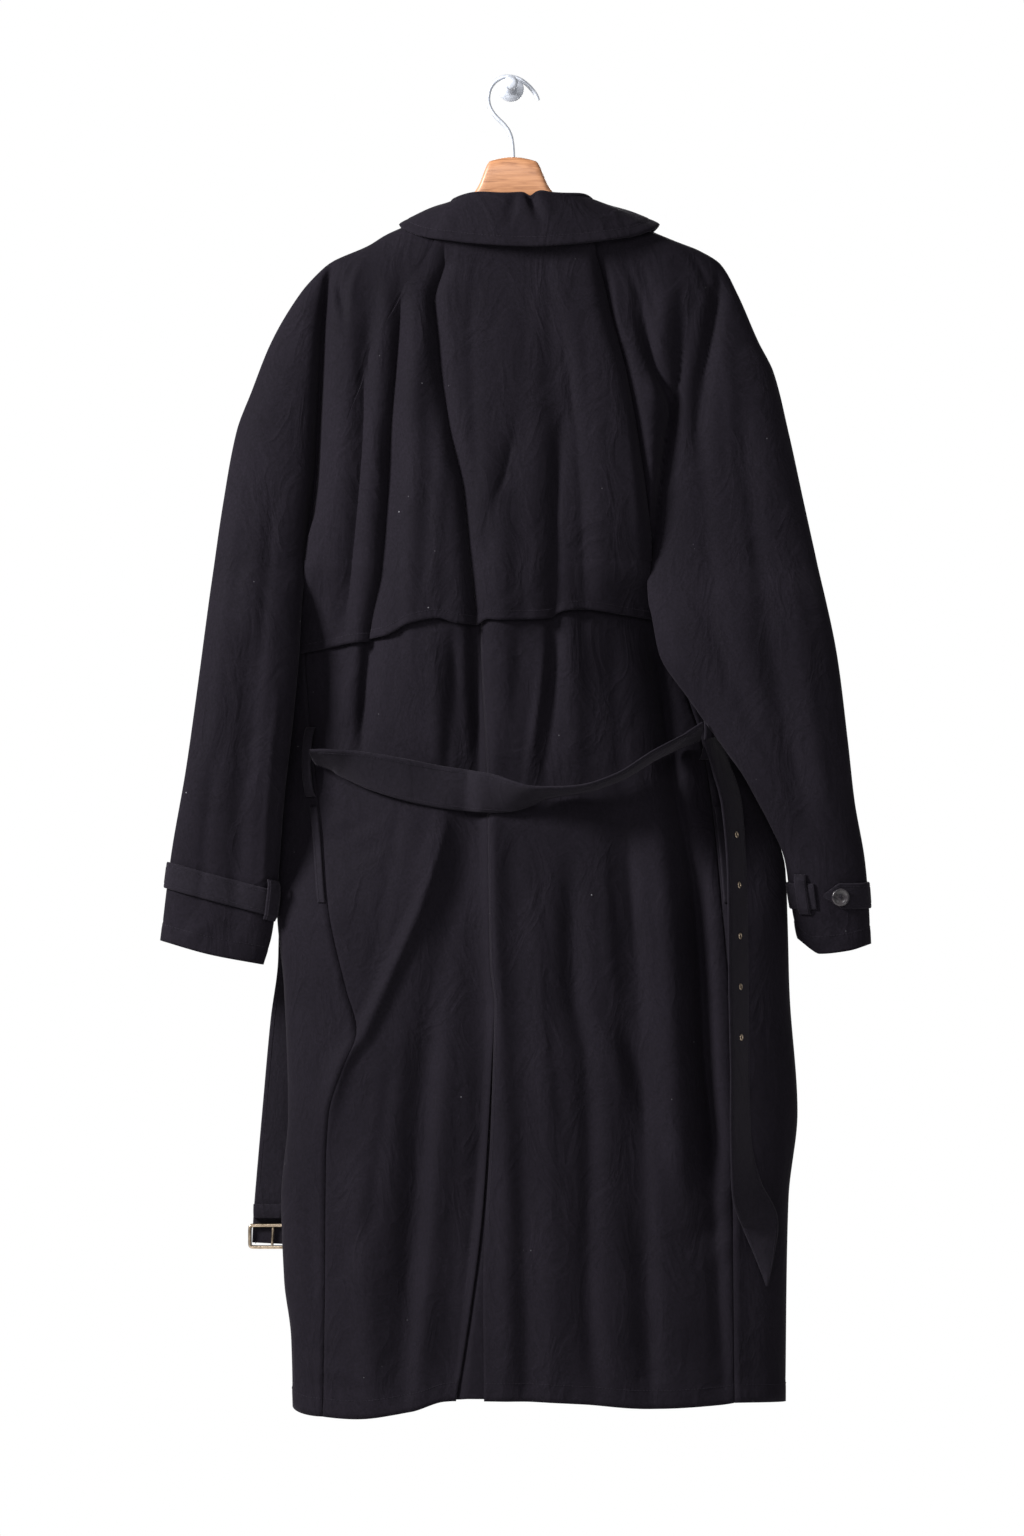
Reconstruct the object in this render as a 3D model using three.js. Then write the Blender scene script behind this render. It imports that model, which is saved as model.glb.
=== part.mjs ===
// Trench coat hung by a wooden hanger on a wall hook. Sizes in millimetres, +Z up, the wall at Y = 0.
// Outlines are drawn on a board in millimetres: ACROSS runs to the right, DOWN runs to the floor.
import * as THREE from "three";

// Board position of the wall hook's centre, the origin of the part
const HOOK_ACROSS = 511;
const HOOK_DOWN = 80;

// Cloth
const CLOTH = 2;
const SEAM_HALF_GAP = 0.25;
const UNDERARM_TRIM = 1.2;
const LAYER_GAP = 1.3;
const OPEN_DEPTH = 8;
const OPEN_ABOVE = 520;
const MIDDLE_Y = -62;

// Heights of the coat on the board
const NECK_DOWN = 214;
const UNDERARM_DOWN = 562;
const VENT_DOWN = 1001;

// Belt, straps and trim
const BELT_WIDTH = 42;
const BELT_THICK = 3;
const STRAP_WIDTH = 26;
const LOOP_THICK = 2;
const LOOP_BASE = 1.9;
const STRAP_GAP = { left: 1.4, right: 0.6 };
const WELT_THICK = 1.6;
const WELT_GAP = { left: 3.6, right: 2.2 };
const BUTTON_RADIUS = 11;
const CUFF_BUTTON_RADIUS = 9;
const BUTTON_THICK = 4;
const BUTTON_LIFT = 0.5;
const EYELET_RADIUS = 3.4;
const EYELET_HOLE = 1.6;
const EYELET_THICK = 1;
const EYELET_LIFT = 0.4;

// Hanger and wall hook
const WIRE_RADIUS = 2.2;
const PEG_RADIUS = 4.6;
const PEG_REACH = 76;
const PLATE_RADIUS = 13;
const PLATE_THICK = 4;

const COLOURS = {
  cloth: 0x201e22,
  wood: 0xc9a06a,
  steel: 0x9a9a98,
  brass: 0xc9bfa4,
  button: 0x141316,
};

const board = (across, down, y) => new THREE.Vector3(across - HOOK_ACROSS, y, HOOK_DOWN - down);

// A smooth curve through rows of [key, value], keys rising
function smooth(rows) {
  const last = rows.length - 1;
  const rise = (i) => (rows[i + 1][1] - rows[i][1]) / (rows[i + 1][0] - rows[i][0]);
  const slopes = rows.map((row, i) => {
    if (i === 0) return rise(0);
    if (i === last) return rise(last - 1);
    const before = rise(i - 1);
    const after = rise(i);
    return before * after <= 0 ? 0 : (2 * before * after) / (before + after);
  });
  return (key) => {
    if (key <= rows[0][0]) return rows[0][1] + slopes[0] * (key - rows[0][0]);
    if (key >= rows[last][0]) return rows[last][1] + slopes[last] * (key - rows[last][0]);
    let i = 0;
    while (key > rows[i + 1][0]) i += 1;
    const span = rows[i + 1][0] - rows[i][0];
    const t = (key - rows[i][0]) / span;
    const start = (1 + 2 * t) * (1 - t) * (1 - t) * rows[i][1] + t * (1 - t) * (1 - t) * span * slopes[i];
    const end = t * t * (3 - 2 * t) * rows[i + 1][1] - t * t * (1 - t) * span * slopes[i + 1];
    return start + end;
  };
}
const clamp = (value, low, high) => Math.min(high, Math.max(low, value));
const mix = (a, b, t) => a + (b - a) * t;
function step(value, low, high) {
  const t = clamp((value - low) / (high - low), 0, 1);
  return t * t * (3 - 2 * t);
}

// Outlines, each row [down, across]
const outerLeft = smooth([
  [214, 430], [232, 386], [243, 368], [260, 330], [270, 318], [290, 300], [340, 270], [390, 250],
  [430, 235], [500, 222], [570, 212], [640, 203], [700, 195], [770, 185], [855, 170], [941, 159],
]);
const outerRight = smooth([
  [214, 617], [239, 677], [248, 700], [262, 722], [290, 738], [340, 760], [370, 775], [430, 790],
  [500, 805], [580, 822], [660, 838], [740, 848], [800, 855], [862, 866], [906, 870], [944, 872],
]);
// Hollow between sleeve and body above the underarm
const valleyLeft = smooth([[214, 345], [270, 326], [329, 323], [412, 318], [478, 315], [562, 305]]);
const valleyRight = smooth([
  [214, 716], [289, 700], [326, 686], [392, 676], [445, 666], [495, 660], [562, 649],
]);
// Raglan seams from the neck to the underarm
const raglanLeft = smooth([
  [214, 446], [247, 430], [300, 396], [370, 364], [450, 337], [530, 313], [562, 305],
]);
const raglanRight = smooth([
  [214, 584], [256, 596], [306, 606], [366, 622], [439, 635], [495, 643], [562, 649],
]);
// Inner edges of the sleeves below the underarm
const innerLeft = smooth([
  [562, 303.5], [600, 299], [654, 297], [720, 293], [800, 284], [900, 276], [936, 271], [966, 262],
]);
const innerRight = smooth([
  [562, 650], [600, 648], [614, 651], [654, 659], [700, 689], [731, 711], [756, 729], [774, 742],
  [797, 755], [823, 769], [860, 785], [892, 790], [934, 797], [955, 806],
]);
// Edges of the body below the underarm
const bodyLeft = smooth([
  [562, 306.5], [600, 301], [640, 295], [700, 289], [770, 283.5], [830, 277.5], [880, 274], [920, 276],
  [992, 283], [1114, 287], [1200, 280], [1283, 283], [1340, 290], [1414, 292],
]);
const bodyRight = smooth([
  [562, 648], [600, 663], [640, 684], [700, 714], [740, 735], [770, 751], [800, 764], [830, 776],
  [870, 787], [920, 789], [992, 791], [1114, 799], [1200, 790], [1283, 788], [1390, 787],
]);
// Seams of the body
const centreSeam = smooth([
  [214, 492], [400, 488], [560, 482], [640, 480], [697, 482], [770, 486], [820, 487], [960, 489],
  [1001, 494],
]);
const ventLeft = smooth([[1001, 494], [1053, 491], [1145, 486], [1225, 480], [1302, 470], [1388, 457]]);
const ventRight = smooth([[1001, 494], [1130, 490], [1206, 486], [1283, 483], [1398, 484]]);
const underlapEdge = smooth([[1001, 496], [1145, 489], [1244, 481], [1302, 471], [1359, 461], [1396, 459]]);
const sideLeft = smooth([
  [562, 307], [650, 303.5], [745, 310], [830, 321], [905, 327], [988, 345], [1030, 356], [1068, 342],
  [1114, 328], [1168, 325], [1300, 324], [1420, 322],
]);
const sideRight = smooth([
  [562, 646.5], [600, 655], [640, 668], [700, 690], [745, 704], [830, 716], [900, 722], [1000, 730],
  [1420, 735],
]);
// Lower edges, each row [across, down]
const hem = smooth([
  [292, 1414], [356, 1419], [414, 1411], [446, 1401], [463, 1400], [511, 1400], [580, 1403], [649, 1408],
  [718, 1405], [787, 1390],
]);
const cuffLeft = smooth([[159, 941], [212, 955], [262, 964]]);
const cuffRight = smooth([[800, 938], [816, 954], [847, 951], [872, 944]]);
const flapHem = smooth([
  [298, 654], [352, 643], [387, 636], [414, 622], [440, 618], [453, 622], [480, 625], [489, 619],
  [500, 620], [543, 619], [570, 611], [586, 610], [626, 615], [660, 620],
]);

// Depths of the coat before (toward the room) and behind (toward the wall) its middle plane
const shoulderRoom = smooth([[214, 42], [240, 34], [270, 29], [340, 33], [450, 42], [562, 50]]);
const shoulderWall = smooth([[214, 38], [240, 31], [270, 27], [340, 30], [450, 38], [562, 44]]);
const bodyRoom = smooth([[230, 30], [340, 44], [562, 53], [760, 46], [900, 50], [1400, 56]]);
const bodyWall = smooth([[230, 28], [340, 38], [562, 44], [760, 38], [900, 42], [1400, 46]]);
const sleeveDepth = smooth([[230, 18], [340, 23], [562, 25], [760, 22], [860, 19], [950, 21]]);
const shoulderBlend = (down) => step(down, 240, UNDERARM_DOWN);
// Middle planes at the body's edges and along the sleeves, which hang in front of them
const edgeMiddleRight = smooth([
  [214, -62], [400, -62], [562, -76], [600, -58], [640, -48], [740, -47], [800, -54], [900, -62],
  [1400, -62],
]);
const edgeMiddleLeft = smooth([
  [214, -62], [400, -62], [562, -70], [600, -60], [640, -53], [760, -52], [860, -55], [960, -62],
  [1400, -62],
]);
const sleeveMiddleRight = smooth([
  [214, -62], [400, -62], [562, -76], [600, -94], [640, -101], [740, -99], [860, -84], [944, -76],
]);
const sleeveMiddleLeft = smooth([
  [214, -62], [400, -62], [562, -70], [600, -80], [640, -86], [760, -86], [860, -78], [944, -70],
]);

// Folds: path rows [down, across]; width and depth in millimetres; a ridge is positive, a hollow negative
const ROOM_FOLDS = [
  {
    path: [[660, 474], [760, 478], [900, 481], [1001, 486], [1145, 479], [1302, 463], [1400, 452]],
    width: 34,
    rightWidth: 7,
    depth: -9,
  },
  {
    path: [
      [300, 401], [379, 396], [429, 391], [495, 387], [571, 382],
      [621, 372], [655, 369], [743, 361],
    ],
    width: 9,
    depth: -9,
  },
  { path: [[320, 418], [430, 412], [571, 404], [640, 398]], width: 11, depth: 5 },
  {
    path: [
      [262, 446], [299, 434], [346, 438], [396, 444], [445, 452],
      [488, 464], [555, 470], [608, 475], [760, 480],
    ],
    width: 9,
    depth: -10,
  },
  { path: [[470, 488], [561, 500], [640, 504], [760, 510]], width: 12, depth: 5 },
  { path: [[430, 518], [495, 499], [575, 482]], width: 8, depth: -4 },
  { path: [[256, 598], [306, 607], [366, 623], [439, 636], [495, 644], [545, 650]], width: 8, depth: -8 },
  { path: [[310, 640], [372, 657], [399, 671], [430, 672]], width: 8, depth: -8 },
  { path: [[290, 668], [380, 655], [480, 652]], width: 10, depth: 4 },
  { path: [[283, 720], [329, 712], [379, 703], [440, 698]], width: 9, depth: -7 },
  { path: [[262, 328], [284, 336], [312, 345]], width: 7, depth: -4 },
  { path: [[300, 352], [380, 350], [520, 342], [640, 330]], width: 12, depth: 3 },
  { path: [[420, 560], [520, 556], [640, 553], [710, 550]], width: 9, depth: -5 },
  { path: [[620, 570], [700, 575], [780, 574]], width: 12, depth: 4 },
  {
    path: [
      [640, 655], [716, 667], [793, 675], [870, 690], [960, 699],
      [1053, 704], [1168, 719],
    ],
    width: 12,
    depth: -9,
  },
  { path: [[800, 655], [900, 664], [1060, 672], [1200, 682]], width: 14, depth: 5 },
  {
    path: [
      [826, 442], [908, 418], [958, 396], [1034, 362], [1068, 340],
      [1114, 327],
    ],
    width: 10,
    depth: 7,
  },
  { path: [[850, 462], [960, 440], [1100, 420], [1300, 405]], width: 16, depth: -5 },
  { path: [[830, 492], [960, 494], [1001, 498], [1206, 506], [1400, 508]], width: 13, depth: 6 },
  {
    path: [
      [880, 571], [996, 574], [1053, 586], [1145, 590], [1283, 588],
      [1380, 594],
    ],
    width: 11,
    depth: -6,
  },
  { path: [[1010, 612], [1072, 636], [1150, 657]], width: 11, depth: -4 },
  { path: [[900, 540], [1100, 548], [1400, 552]], width: 15, depth: 4 },
  { path: [[1180, 360], [1290, 366], [1400, 372]], width: 15, depth: 4 },
  { path: [[1220, 640], [1320, 648], [1400, 652]], width: 14, depth: -4 },
  { path: [[640, 250], [720, 246], [820, 240], [900, 236]], width: 11, depth: -4 },
  { path: [[430, 740], [560, 756], [700, 780], [820, 806]], width: 13, depth: -4 },
].map(readFold);
const WALL_FOLDS = [
  { path: [[300, 420], [500, 400], [700, 380]], width: 14, depth: -5 },
  { path: [[320, 620], [520, 640], [720, 660]], width: 14, depth: -5 },
  { path: [[820, 380], [1000, 360], [1390, 350]], width: 18, depth: 5 },
  { path: [[820, 650], [1100, 670], [1390, 690]], width: 18, depth: 5 },
  { path: [[860, 430], [1100, 420], [1390, 410]], width: 16, depth: -4 },
].map(readFold);
const FOLD_TAPER = 45;

function readFold(fold) {
  return {
    across: smooth(fold.path),
    top: fold.path[0][0],
    bottom: fold.path[fold.path.length - 1][0],
    width: fold.width,
    depth: fold.depth,
  };
}
function foldOffset(folds, across, down) {
  let total = 0;
  for (const fold of folds) {
    const fade = step(down, fold.top - FOLD_TAPER, fold.top + FOLD_TAPER)
      * (1 - step(down, fold.bottom - FOLD_TAPER, fold.bottom + FOLD_TAPER));
    if (fade > 0) {
      const away = across - fold.across(clamp(down, fold.top, fold.bottom));
      const width = away > 0 ? fold.rightWidth ?? fold.width : fold.width;
      total += fold.depth * fade * Math.exp(-((away / width) ** 2));
    }
  }
  return total;
}

// Share of the full depth at one place between two edges
function bulge(across, left, right, power) {
  const half = (right - left) / 2;
  const off = clamp((across - left - half) / half, -1, 1);
  return Math.pow(1 - off * off, power / 2);
}
const BODY_POWER = 0.7;
const SLEEVE_POWER = 0.8;
const SHOULDER_POWER = 0.75;
// The sleeves press the body's edges flat between these heights
const CLEARED_WIDTH = 75;
const PRESSED_SHARE = 0.75;
const PRESSED_LEFT = 710;
const PRESSED_RIGHT = 600;
const FLAP_CORNER = 654;
const PRESSED_TO = 840;
const FREE_BELOW = 930;

// Middle plane of the coat
function middleAt(lobe, across, down) {
  if (lobe === "left") return sleeveMiddleLeft(down);
  if (lobe === "right") return sleeveMiddleRight(down);
  const left = down < UNDERARM_DOWN ? valleyLeft(down) : bodyLeft(down);
  const right = down < UNDERARM_DOWN ? valleyRight(down) : bodyRight(down);
  const half = (right - left) / 2;
  const off = clamp((across - left - half) / half, -1, 1);
  const edge = off > 0 ? edgeMiddleRight(down) : edgeMiddleLeft(down);
  return MIDDLE_Y + (edge - MIDDLE_Y) * Math.abs(off * off * off);
}
// Half depth of the coat toward the room or the wall
function depthAt(lobe, across, down, room) {
  const body = room ? bodyRoom(down) : bodyWall(down);
  if (down >= UNDERARM_DOWN) {
    const sleeve = sleeveDepth(down);
    if (lobe === "left") return sleeve * bulge(across, outerLeft(down), innerLeft(down), SLEEVE_POWER);
    if (lobe === "right") return sleeve * bulge(across, innerRight(down), outerRight(down), SLEEVE_POWER);
    const left = bodyLeft(down);
    const right = bodyRight(down);
    const nearLeft = across - left < right - across;
    const away = (nearLeft ? across - left : right - across) / CLEARED_WIDTH;
    const start = nearLeft ? step(down, FLAP_CORNER, PRESSED_LEFT) : step(down, UNDERARM_DOWN, PRESSED_RIGHT);
    const pressed = start * (1 - step(down, PRESSED_TO, FREE_BELOW));
    const kept = room ? 1 - PRESSED_SHARE * pressed * Math.exp(-away * away) : 1;
    return body * kept * bulge(across, left, right, BODY_POWER);
  }
  const edgeLeft = outerLeft(down);
  const edgeRight = outerRight(down);
  const full = room ? shoulderRoom(down) : shoulderWall(down);
  const shoulder = full * bulge(across, edgeLeft, edgeRight, SHOULDER_POWER);
  const hollowLeft = valleyLeft(down);
  const hollowRight = valleyRight(down);
  let lobeDepth = body * bulge(across, hollowLeft, hollowRight, BODY_POWER);
  const sleeve = sleeveDepth(down);
  if (across < hollowLeft) lobeDepth = sleeve * bulge(across, edgeLeft, hollowLeft, SLEEVE_POWER);
  if (across > hollowRight) lobeDepth = sleeve * bulge(across, hollowRight, edgeRight, SLEEVE_POWER);
  const blend = shoulderBlend(down);
  const edge = Math.min(across - edgeLeft, edgeRight - across);
  const open = OPEN_DEPTH * blend * (1 - step(down, OPEN_ABOVE, UNDERARM_DOWN)) * step(edge, 0, 20);
  return Math.hypot(mix(shoulder, lobeDepth, blend), open);
}
function edgesOf(lobe, down) {
  const above = down < UNDERARM_DOWN;
  if (lobe === "left") return [outerLeft(down), above ? raglanLeft(down) : innerLeft(down)];
  if (lobe === "right") return [outerRight(down), above ? raglanRight(down) : innerRight(down)];
  return above ? [raglanLeft(down), raglanRight(down)] : [bodyLeft(down), bodyRight(down)];
}
// A point on the outside of one tube of the coat. Turn runs 0 to 1 on the room side, 1 to 2 on the wall side.
function skin(lobe, turn, down) {
  const room = turn >= 0 && turn <= 1;
  let part = turn;
  if (turn < 0) part = -turn;
  if (turn > 1) part = 2 - turn;
  const [first, second] = edgesOf(lobe, down);
  const across = mix(first, second, (1 - Math.cos(Math.PI * part)) / 2);
  const depth = depthAt(lobe, across, down, room);
  const hold = clamp(depth / 14, 0, 1);
  const middle = down < UNDERARM_DOWN ? middleAbove(across, down) : middleAt(lobe, across, down);
  if (room) return board(across, down, middle - depth - hold * foldOffset(ROOM_FOLDS, across, down));
  return board(across, down, middle + depth + hold * foldOffset(WALL_FOLDS, across, down));
}
function middleAbove(across, down) {
  if (across < valleyLeft(down)) return middleAt("left", across, down);
  if (across > valleyRight(down)) return middleAt("right", across, down);
  return middleAt("body", across, down);
}
// Turn of the body's tube at which it lies at one place across
function turnAt(lobe, across, down) {
  const [first, second] = edgesOf(lobe, down);
  return Math.acos(clamp(1 - (2 * (across - first)) / (second - first), -1, 1)) / Math.PI;
}

// A wall of cloth over a grid of places, its outside moved out by lift, made as one closed body
const NORMAL_STEP = 0.002;
function wallGrid({
  columns, rows, place, flip = false, thick = CLOTH, lift = () => 0, trim = SEAM_HALF_GAP,
}) {
  const outside = [];
  const inside = [];
  for (let j = 0; j <= rows; j += 1) {
    for (let i = 0; i <= columns; i += 1) {
      const s = i / columns;
      const t = j / rows;
      const here = place(s, t);
      const alongS = place(Math.min(1, s + NORMAL_STEP), t).sub(place(Math.max(0, s - NORMAL_STEP), t));
      const alongT = place(s, Math.min(1, t + NORMAL_STEP)).sub(place(s, Math.max(0, t - NORMAL_STEP)));
      const normal = alongT.cross(alongS).normalize();
      if (flip) normal.negate();
      const out = lift(s, t);
      outside.push(here.clone().addScaledVector(normal, out));
      inside.push(here.clone().addScaledVector(normal, out - thick));
    }
  }
  const at = (i, j) => j * (columns + 1) + i;
  for (const layer of [outside, inside]) {
    for (let j = 0; j <= rows; j += 1) {
      const short = trim + (Math.abs(j / rows - BODY_SHARE) < 1e-6 ? UNDERARM_TRIM : 0);
      trimToward(layer[at(0, j)], layer[at(1, j)], short);
      trimToward(layer[at(columns, j)], layer[at(columns - 1, j)], short);
    }
  }
  const faces = [];
  const quad = (a, b, c, d) => faces.push(a, b, c, a, c, d);
  const count = outside.length;
  for (let j = 0; j < rows; j += 1) {
    for (let i = 0; i < columns; i += 1) {
      quad(at(i, j), at(i, j + 1), at(i + 1, j + 1), at(i + 1, j));
      quad(count + at(i, j), count + at(i + 1, j), count + at(i + 1, j + 1), count + at(i, j + 1));
    }
  }
  for (let i = 0; i < columns; i += 1) {
    quad(at(i, 0), at(i + 1, 0), count + at(i + 1, 0), count + at(i, 0));
    quad(at(i + 1, rows), at(i, rows), count + at(i, rows), count + at(i + 1, rows));
  }
  for (let j = 0; j < rows; j += 1) {
    quad(at(0, j + 1), at(0, j), count + at(0, j), count + at(0, j + 1));
    quad(at(columns, j), at(columns, j + 1), count + at(columns, j + 1), count + at(columns, j));
  }
  return closedGeometry(outside.concat(inside), faces, flip);
}
function trimToward(point, next, distance) {
  const way = next.clone().sub(point);
  const length = way.length();
  if (length > 0) point.addScaledVector(way, distance / length);
}
function closedGeometry(points, faces, flip) {
  const order = [];
  for (let i = 0; i < faces.length; i += 3) {
    if (flip) order.push(faces[i], faces[i + 2], faces[i + 1]);
    else order.push(faces[i], faces[i + 1], faces[i + 2]);
  }
  const geometry = new THREE.BufferGeometry();
  const numbers = points.flatMap((point) => [point.x, point.y, point.z]);
  geometry.setAttribute("position", new THREE.Float32BufferAttribute(numbers, 3));
  geometry.setIndex(order);
  geometry.computeVertexNormals();
  return geometry;
}

const coat = new THREE.Group();
coat.name = "trench_coat";
function add(name, geometry, colour, roughness = 0.85, metalness = 0) {
  const material = new THREE.MeshStandardMaterial({ color: colour, roughness, metalness });
  const mesh = new THREE.Mesh(geometry, material);
  mesh.name = name;
  coat.add(mesh);
  return mesh;
}

// Rows of a long panel: a share of them above the underarm, the rest down to its lower edge
const ROW_POWER = 1.25;
function panelDown(t, share, bottom) {
  if (t <= share) return mix(NECK_DOWN, UNDERARM_DOWN, Math.pow(t / share, ROW_POWER));
  return mix(UNDERARM_DOWN, bottom, (t - share) / (1 - share));
}
const BODY_ROWS = 22;
const BODY_SHARE = 9 / BODY_ROWS;
const BACK_COLUMNS = 18;
const FRONT_COLUMNS = 15;

function ventEdgeLeft(down) {
  return down < VENT_DOWN ? centreSeam(down) : ventLeft(down);
}
function ventEdgeRight(down) {
  return down < VENT_DOWN ? centreSeam(down) : ventRight(down);
}
const seamTurn = (seam, down, above) => (down <= UNDERARM_DOWN ? above : turnAt("body", seam(down), down));
function backPlace(side, s, down) {
  const from = side === "left" ? seamTurn(sideLeft, down, 0) : turnAt("body", ventEdgeRight(down), down);
  const to = side === "left" ? turnAt("body", ventEdgeLeft(down), down) : seamTurn(sideRight, down, 1);
  return skin("body", mix(from, to, s), down);
}
// Height of a row, its lower end following the hem below the place across
function hemDown(side, s, t, share, edge) {
  const low = edge(HOOK_ACROSS + backPlace(side, s, 1390).x);
  return panelDown(t, share, low);
}
function backPanel(side) {
  return wallGrid({
    columns: BACK_COLUMNS,
    rows: BODY_ROWS,
    place: (s, t) => backPlace(side, s, hemDown(side, s, t, BODY_SHARE, hem)),
  });
}
// The flap lies on the back panels' own facets: its points are theirs, moved out
const FLAP_ROWS = 12;
const FLAP_SHARE = 9 / FLAP_ROWS;
const FLAP_TOP = 226;
const FLAP_INSET = 3;
const EDGE_HOLD = 3;
const FLAP_EDGE_RISE = 2;
const FLAP_GAP = 3.6;
const flapRight = smooth([[562, 635], [585, 637], [610, 646], [660, 652]]);
const flapLeft = smooth([[562, 312], [600, 308], [660, 303]]);
function rowShare(down, low) {
  if (down <= UNDERARM_DOWN) {
    return BODY_SHARE * Math.pow((down - NECK_DOWN) / (UNDERARM_DOWN - NECK_DOWN), 1 / ROW_POWER);
  }
  return BODY_SHARE + ((1 - BODY_SHARE) * (down - UNDERARM_DOWN)) / (low - UNDERARM_DOWN);
}
function onBackFacets(side, part, down) {
  const column = Math.min(BACK_COLUMNS - 1, Math.floor(part * BACK_COLUMNS));
  const low = hem(HOOK_ACROSS + backPlace(side, part, 1390).x);
  const row = clamp(rowShare(down, low) * BODY_ROWS, 0, BODY_ROWS - 1e-6);
  const corner = (i, j) => {
    const s = i / BACK_COLUMNS;
    return backPlace(side, s, hemDown(side, s, j / BODY_ROWS, BODY_SHARE, hem));
  };
  const i = part * BACK_COLUMNS - column;
  const j = Math.floor(row);
  const upper = corner(column, j).lerp(corner(column + 1, j), i);
  const lower = corner(column, j + 1).lerp(corner(column + 1, j + 1), i);
  return upper.lerp(lower, row - j);
}
function flapPlace(s, t) {
  const side = s < 0.5 ? "left" : "right";
  let part = side === "left" ? 2 * s : 2 * s - 1;
  const low = flapHem(clamp(HOOK_ACROSS + backPlace(side, part, 630).x, 298, 660));
  const row = panelDown(t, FLAP_SHARE, low);
  const down = row + (FLAP_TOP - NECK_DOWN) * (1 - step(row, NECK_DOWN, FLAP_TOP + 23));
  if (down >= UNDERARM_DOWN) {
    const middle = turnAt("body", centreSeam(down), down);
    const edge = side === "left" ? seamTurn(sideLeft, down, 0) : seamTurn(sideRight, down, 1);
    const kept = turnAt("body", side === "left" ? flapLeft(down) : flapRight(down), down);
    const cut = Math.max(0, 1 - (kept - middle) / (edge - middle));
    if (side === "left") part += cut * Math.pow(1 - part, EDGE_HOLD);
    else part -= cut * Math.pow(part, EDGE_HOLD);
  }
  return onBackFacets(side, part, down);
}
function stormFlap() {
  return wallGrid({
    columns: 2 * BACK_COLUMNS,
    rows: FLAP_ROWS,
    place: flapPlace,
    lift: (s) => FLAP_GAP + CLOTH + FLAP_EDGE_RISE * step(s, 0.86, 0.95),
    trim: FLAP_INSET,
  });
}
// Front panels reach round the body's edges to the side seams. The wearer's left front lies outside.
const frontLeftEdge = smooth([[214, 546], [330, 572], [420, 588], [1400, 594]]);
const frontRightEdge = smooth([[214, 478], [330, 452], [420, 442], [1400, 438]]);
function frontTurns(side, down) {
  if (side === "left") {
    return [seamTurn(sideLeft, down, 0), -turnAt("body", frontLeftEdge(down), down)];
  }
  return [seamTurn(sideRight, down, 1), 2 - turnAt("body", frontRightEdge(down), down)];
}
function frontPlace(side, s, down) {
  const [from, to] = frontTurns(side, down);
  const turn = mix(from, to, s);
  if (down <= UNDERARM_DOWN && s === 0) return skin("body", side === "left" ? -1e-9 : 1 + 1e-9, down);
  return skin("body", turn, down);
}
const FRONT_LOW = 1404;
function frontPanel(side) {
  const tuck = (s, t) => {
    if (side === "left") return 0;
    const down = panelDown(t, BODY_SHARE, FRONT_LOW);
    const across = HOOK_ACROSS + frontPlace(side, s, down).x;
    const edge = frontLeftEdge(down);
    return s > 0.2 ? -(2 * LAYER_GAP + CLOTH + 0.6) * (1 - step(across, edge + 10, edge + 36)) : 0;
  };
  return wallGrid({
    columns: FRONT_COLUMNS,
    rows: BODY_ROWS,
    flip: side === "left",
    lift: tuck,
    place: (s, t) => {
      const start = HOOK_ACROSS + frontPlace(side, 0, 1390).x;
      const low = mix(hem(start), FRONT_LOW, step(s, 0, 0.35));
      return frontPlace(side, s, panelDown(t, BODY_SHARE, low));
    },
  });
}
// Part of the vent that shows between its two edges
// How far the underlap reaches beneath the right vent edge
const UNDERLAP_COVER = 20;
function ventUnderlap() {
  return wallGrid({
    columns: 6,
    rows: 10,
    trim: 0,
    lift: () => -(CLOTH + 2 * LAYER_GAP),
    place: (s, t) => {
      const down = mix(VENT_DOWN + 40, 1398, t);
      const across = mix(underlapEdge(down), ventRight(down) + UNDERLAP_COVER, s);
      return skin("body", turnAt("body", across, down), down);
    },
  });
}

// Sleeves: a back and a front panel each, joined along the top of the arm and under it
const SLEEVE_ROWS = 20;
const SLEEVE_SHARE = 9 / SLEEVE_ROWS;
const SLEEVE_COLUMNS = 8;
function sleevePlace(side, turn, t) {
  const cuff = side === "left" ? cuffLeft : cuffRight;
  const [first, second] = edgesOf(side, 944);
  const part = turn < 0 ? -turn : turn;
  const across = mix(first, second, (1 - Math.cos(Math.PI * part)) / 2);
  const down = panelDown(t, SLEEVE_SHARE, cuff(across));
  return skin(side, turn, down);
}
function sleevePanel(side, room) {
  const direction = room ? 1 : -1;
  return wallGrid({
    columns: SLEEVE_COLUMNS,
    rows: SLEEVE_ROWS,
    flip: (side === "right") === room,
    place: (s, t) => sleevePlace(side, direction * s, t),
  });
}

// Cuff straps go round the sleeve just above its lower edge. Turns run from the outer edge.
const STRAPS = {
  left: { top: smooth([[160, 862], [186, 869], [260, 886]]), from: -0.62, to: 1.3 },
  right: { top: smooth([[790, 882], [846, 883], [872, 881]]), from: -1.38, to: 0.55 },
};
function strapPlace(side, turn, drop) {
  const wrapped = turn < -1 ? turn + 2 : turn;
  const part = wrapped > 1 ? 2 - wrapped : Math.abs(wrapped);
  const [first, second] = edgesOf(side, 895);
  const across = mix(first, second, (1 - Math.cos(Math.PI * part)) / 2);
  return skin(side, wrapped, STRAPS[side].top(across) + drop);
}
const STRAP_POINT = 0.06;
function cuffStrap(side) {
  const { from, to } = STRAPS[side];
  return wallGrid({
    columns: 30,
    rows: 2,
    trim: 0,
    flip: side === "right",
    lift: () => STRAP_GAP[side] + CLOTH,
    place: (s, t) => {
      const end = side === "right" ? 1 - s : s;
      const narrow = mix(0.25, 1, clamp(end / STRAP_POINT, 0, 1));
      return strapPlace(side, mix(from, to, s), STRAP_WIDTH * (0.5 + (t - 0.5) * narrow));
    },
  });
}
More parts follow.
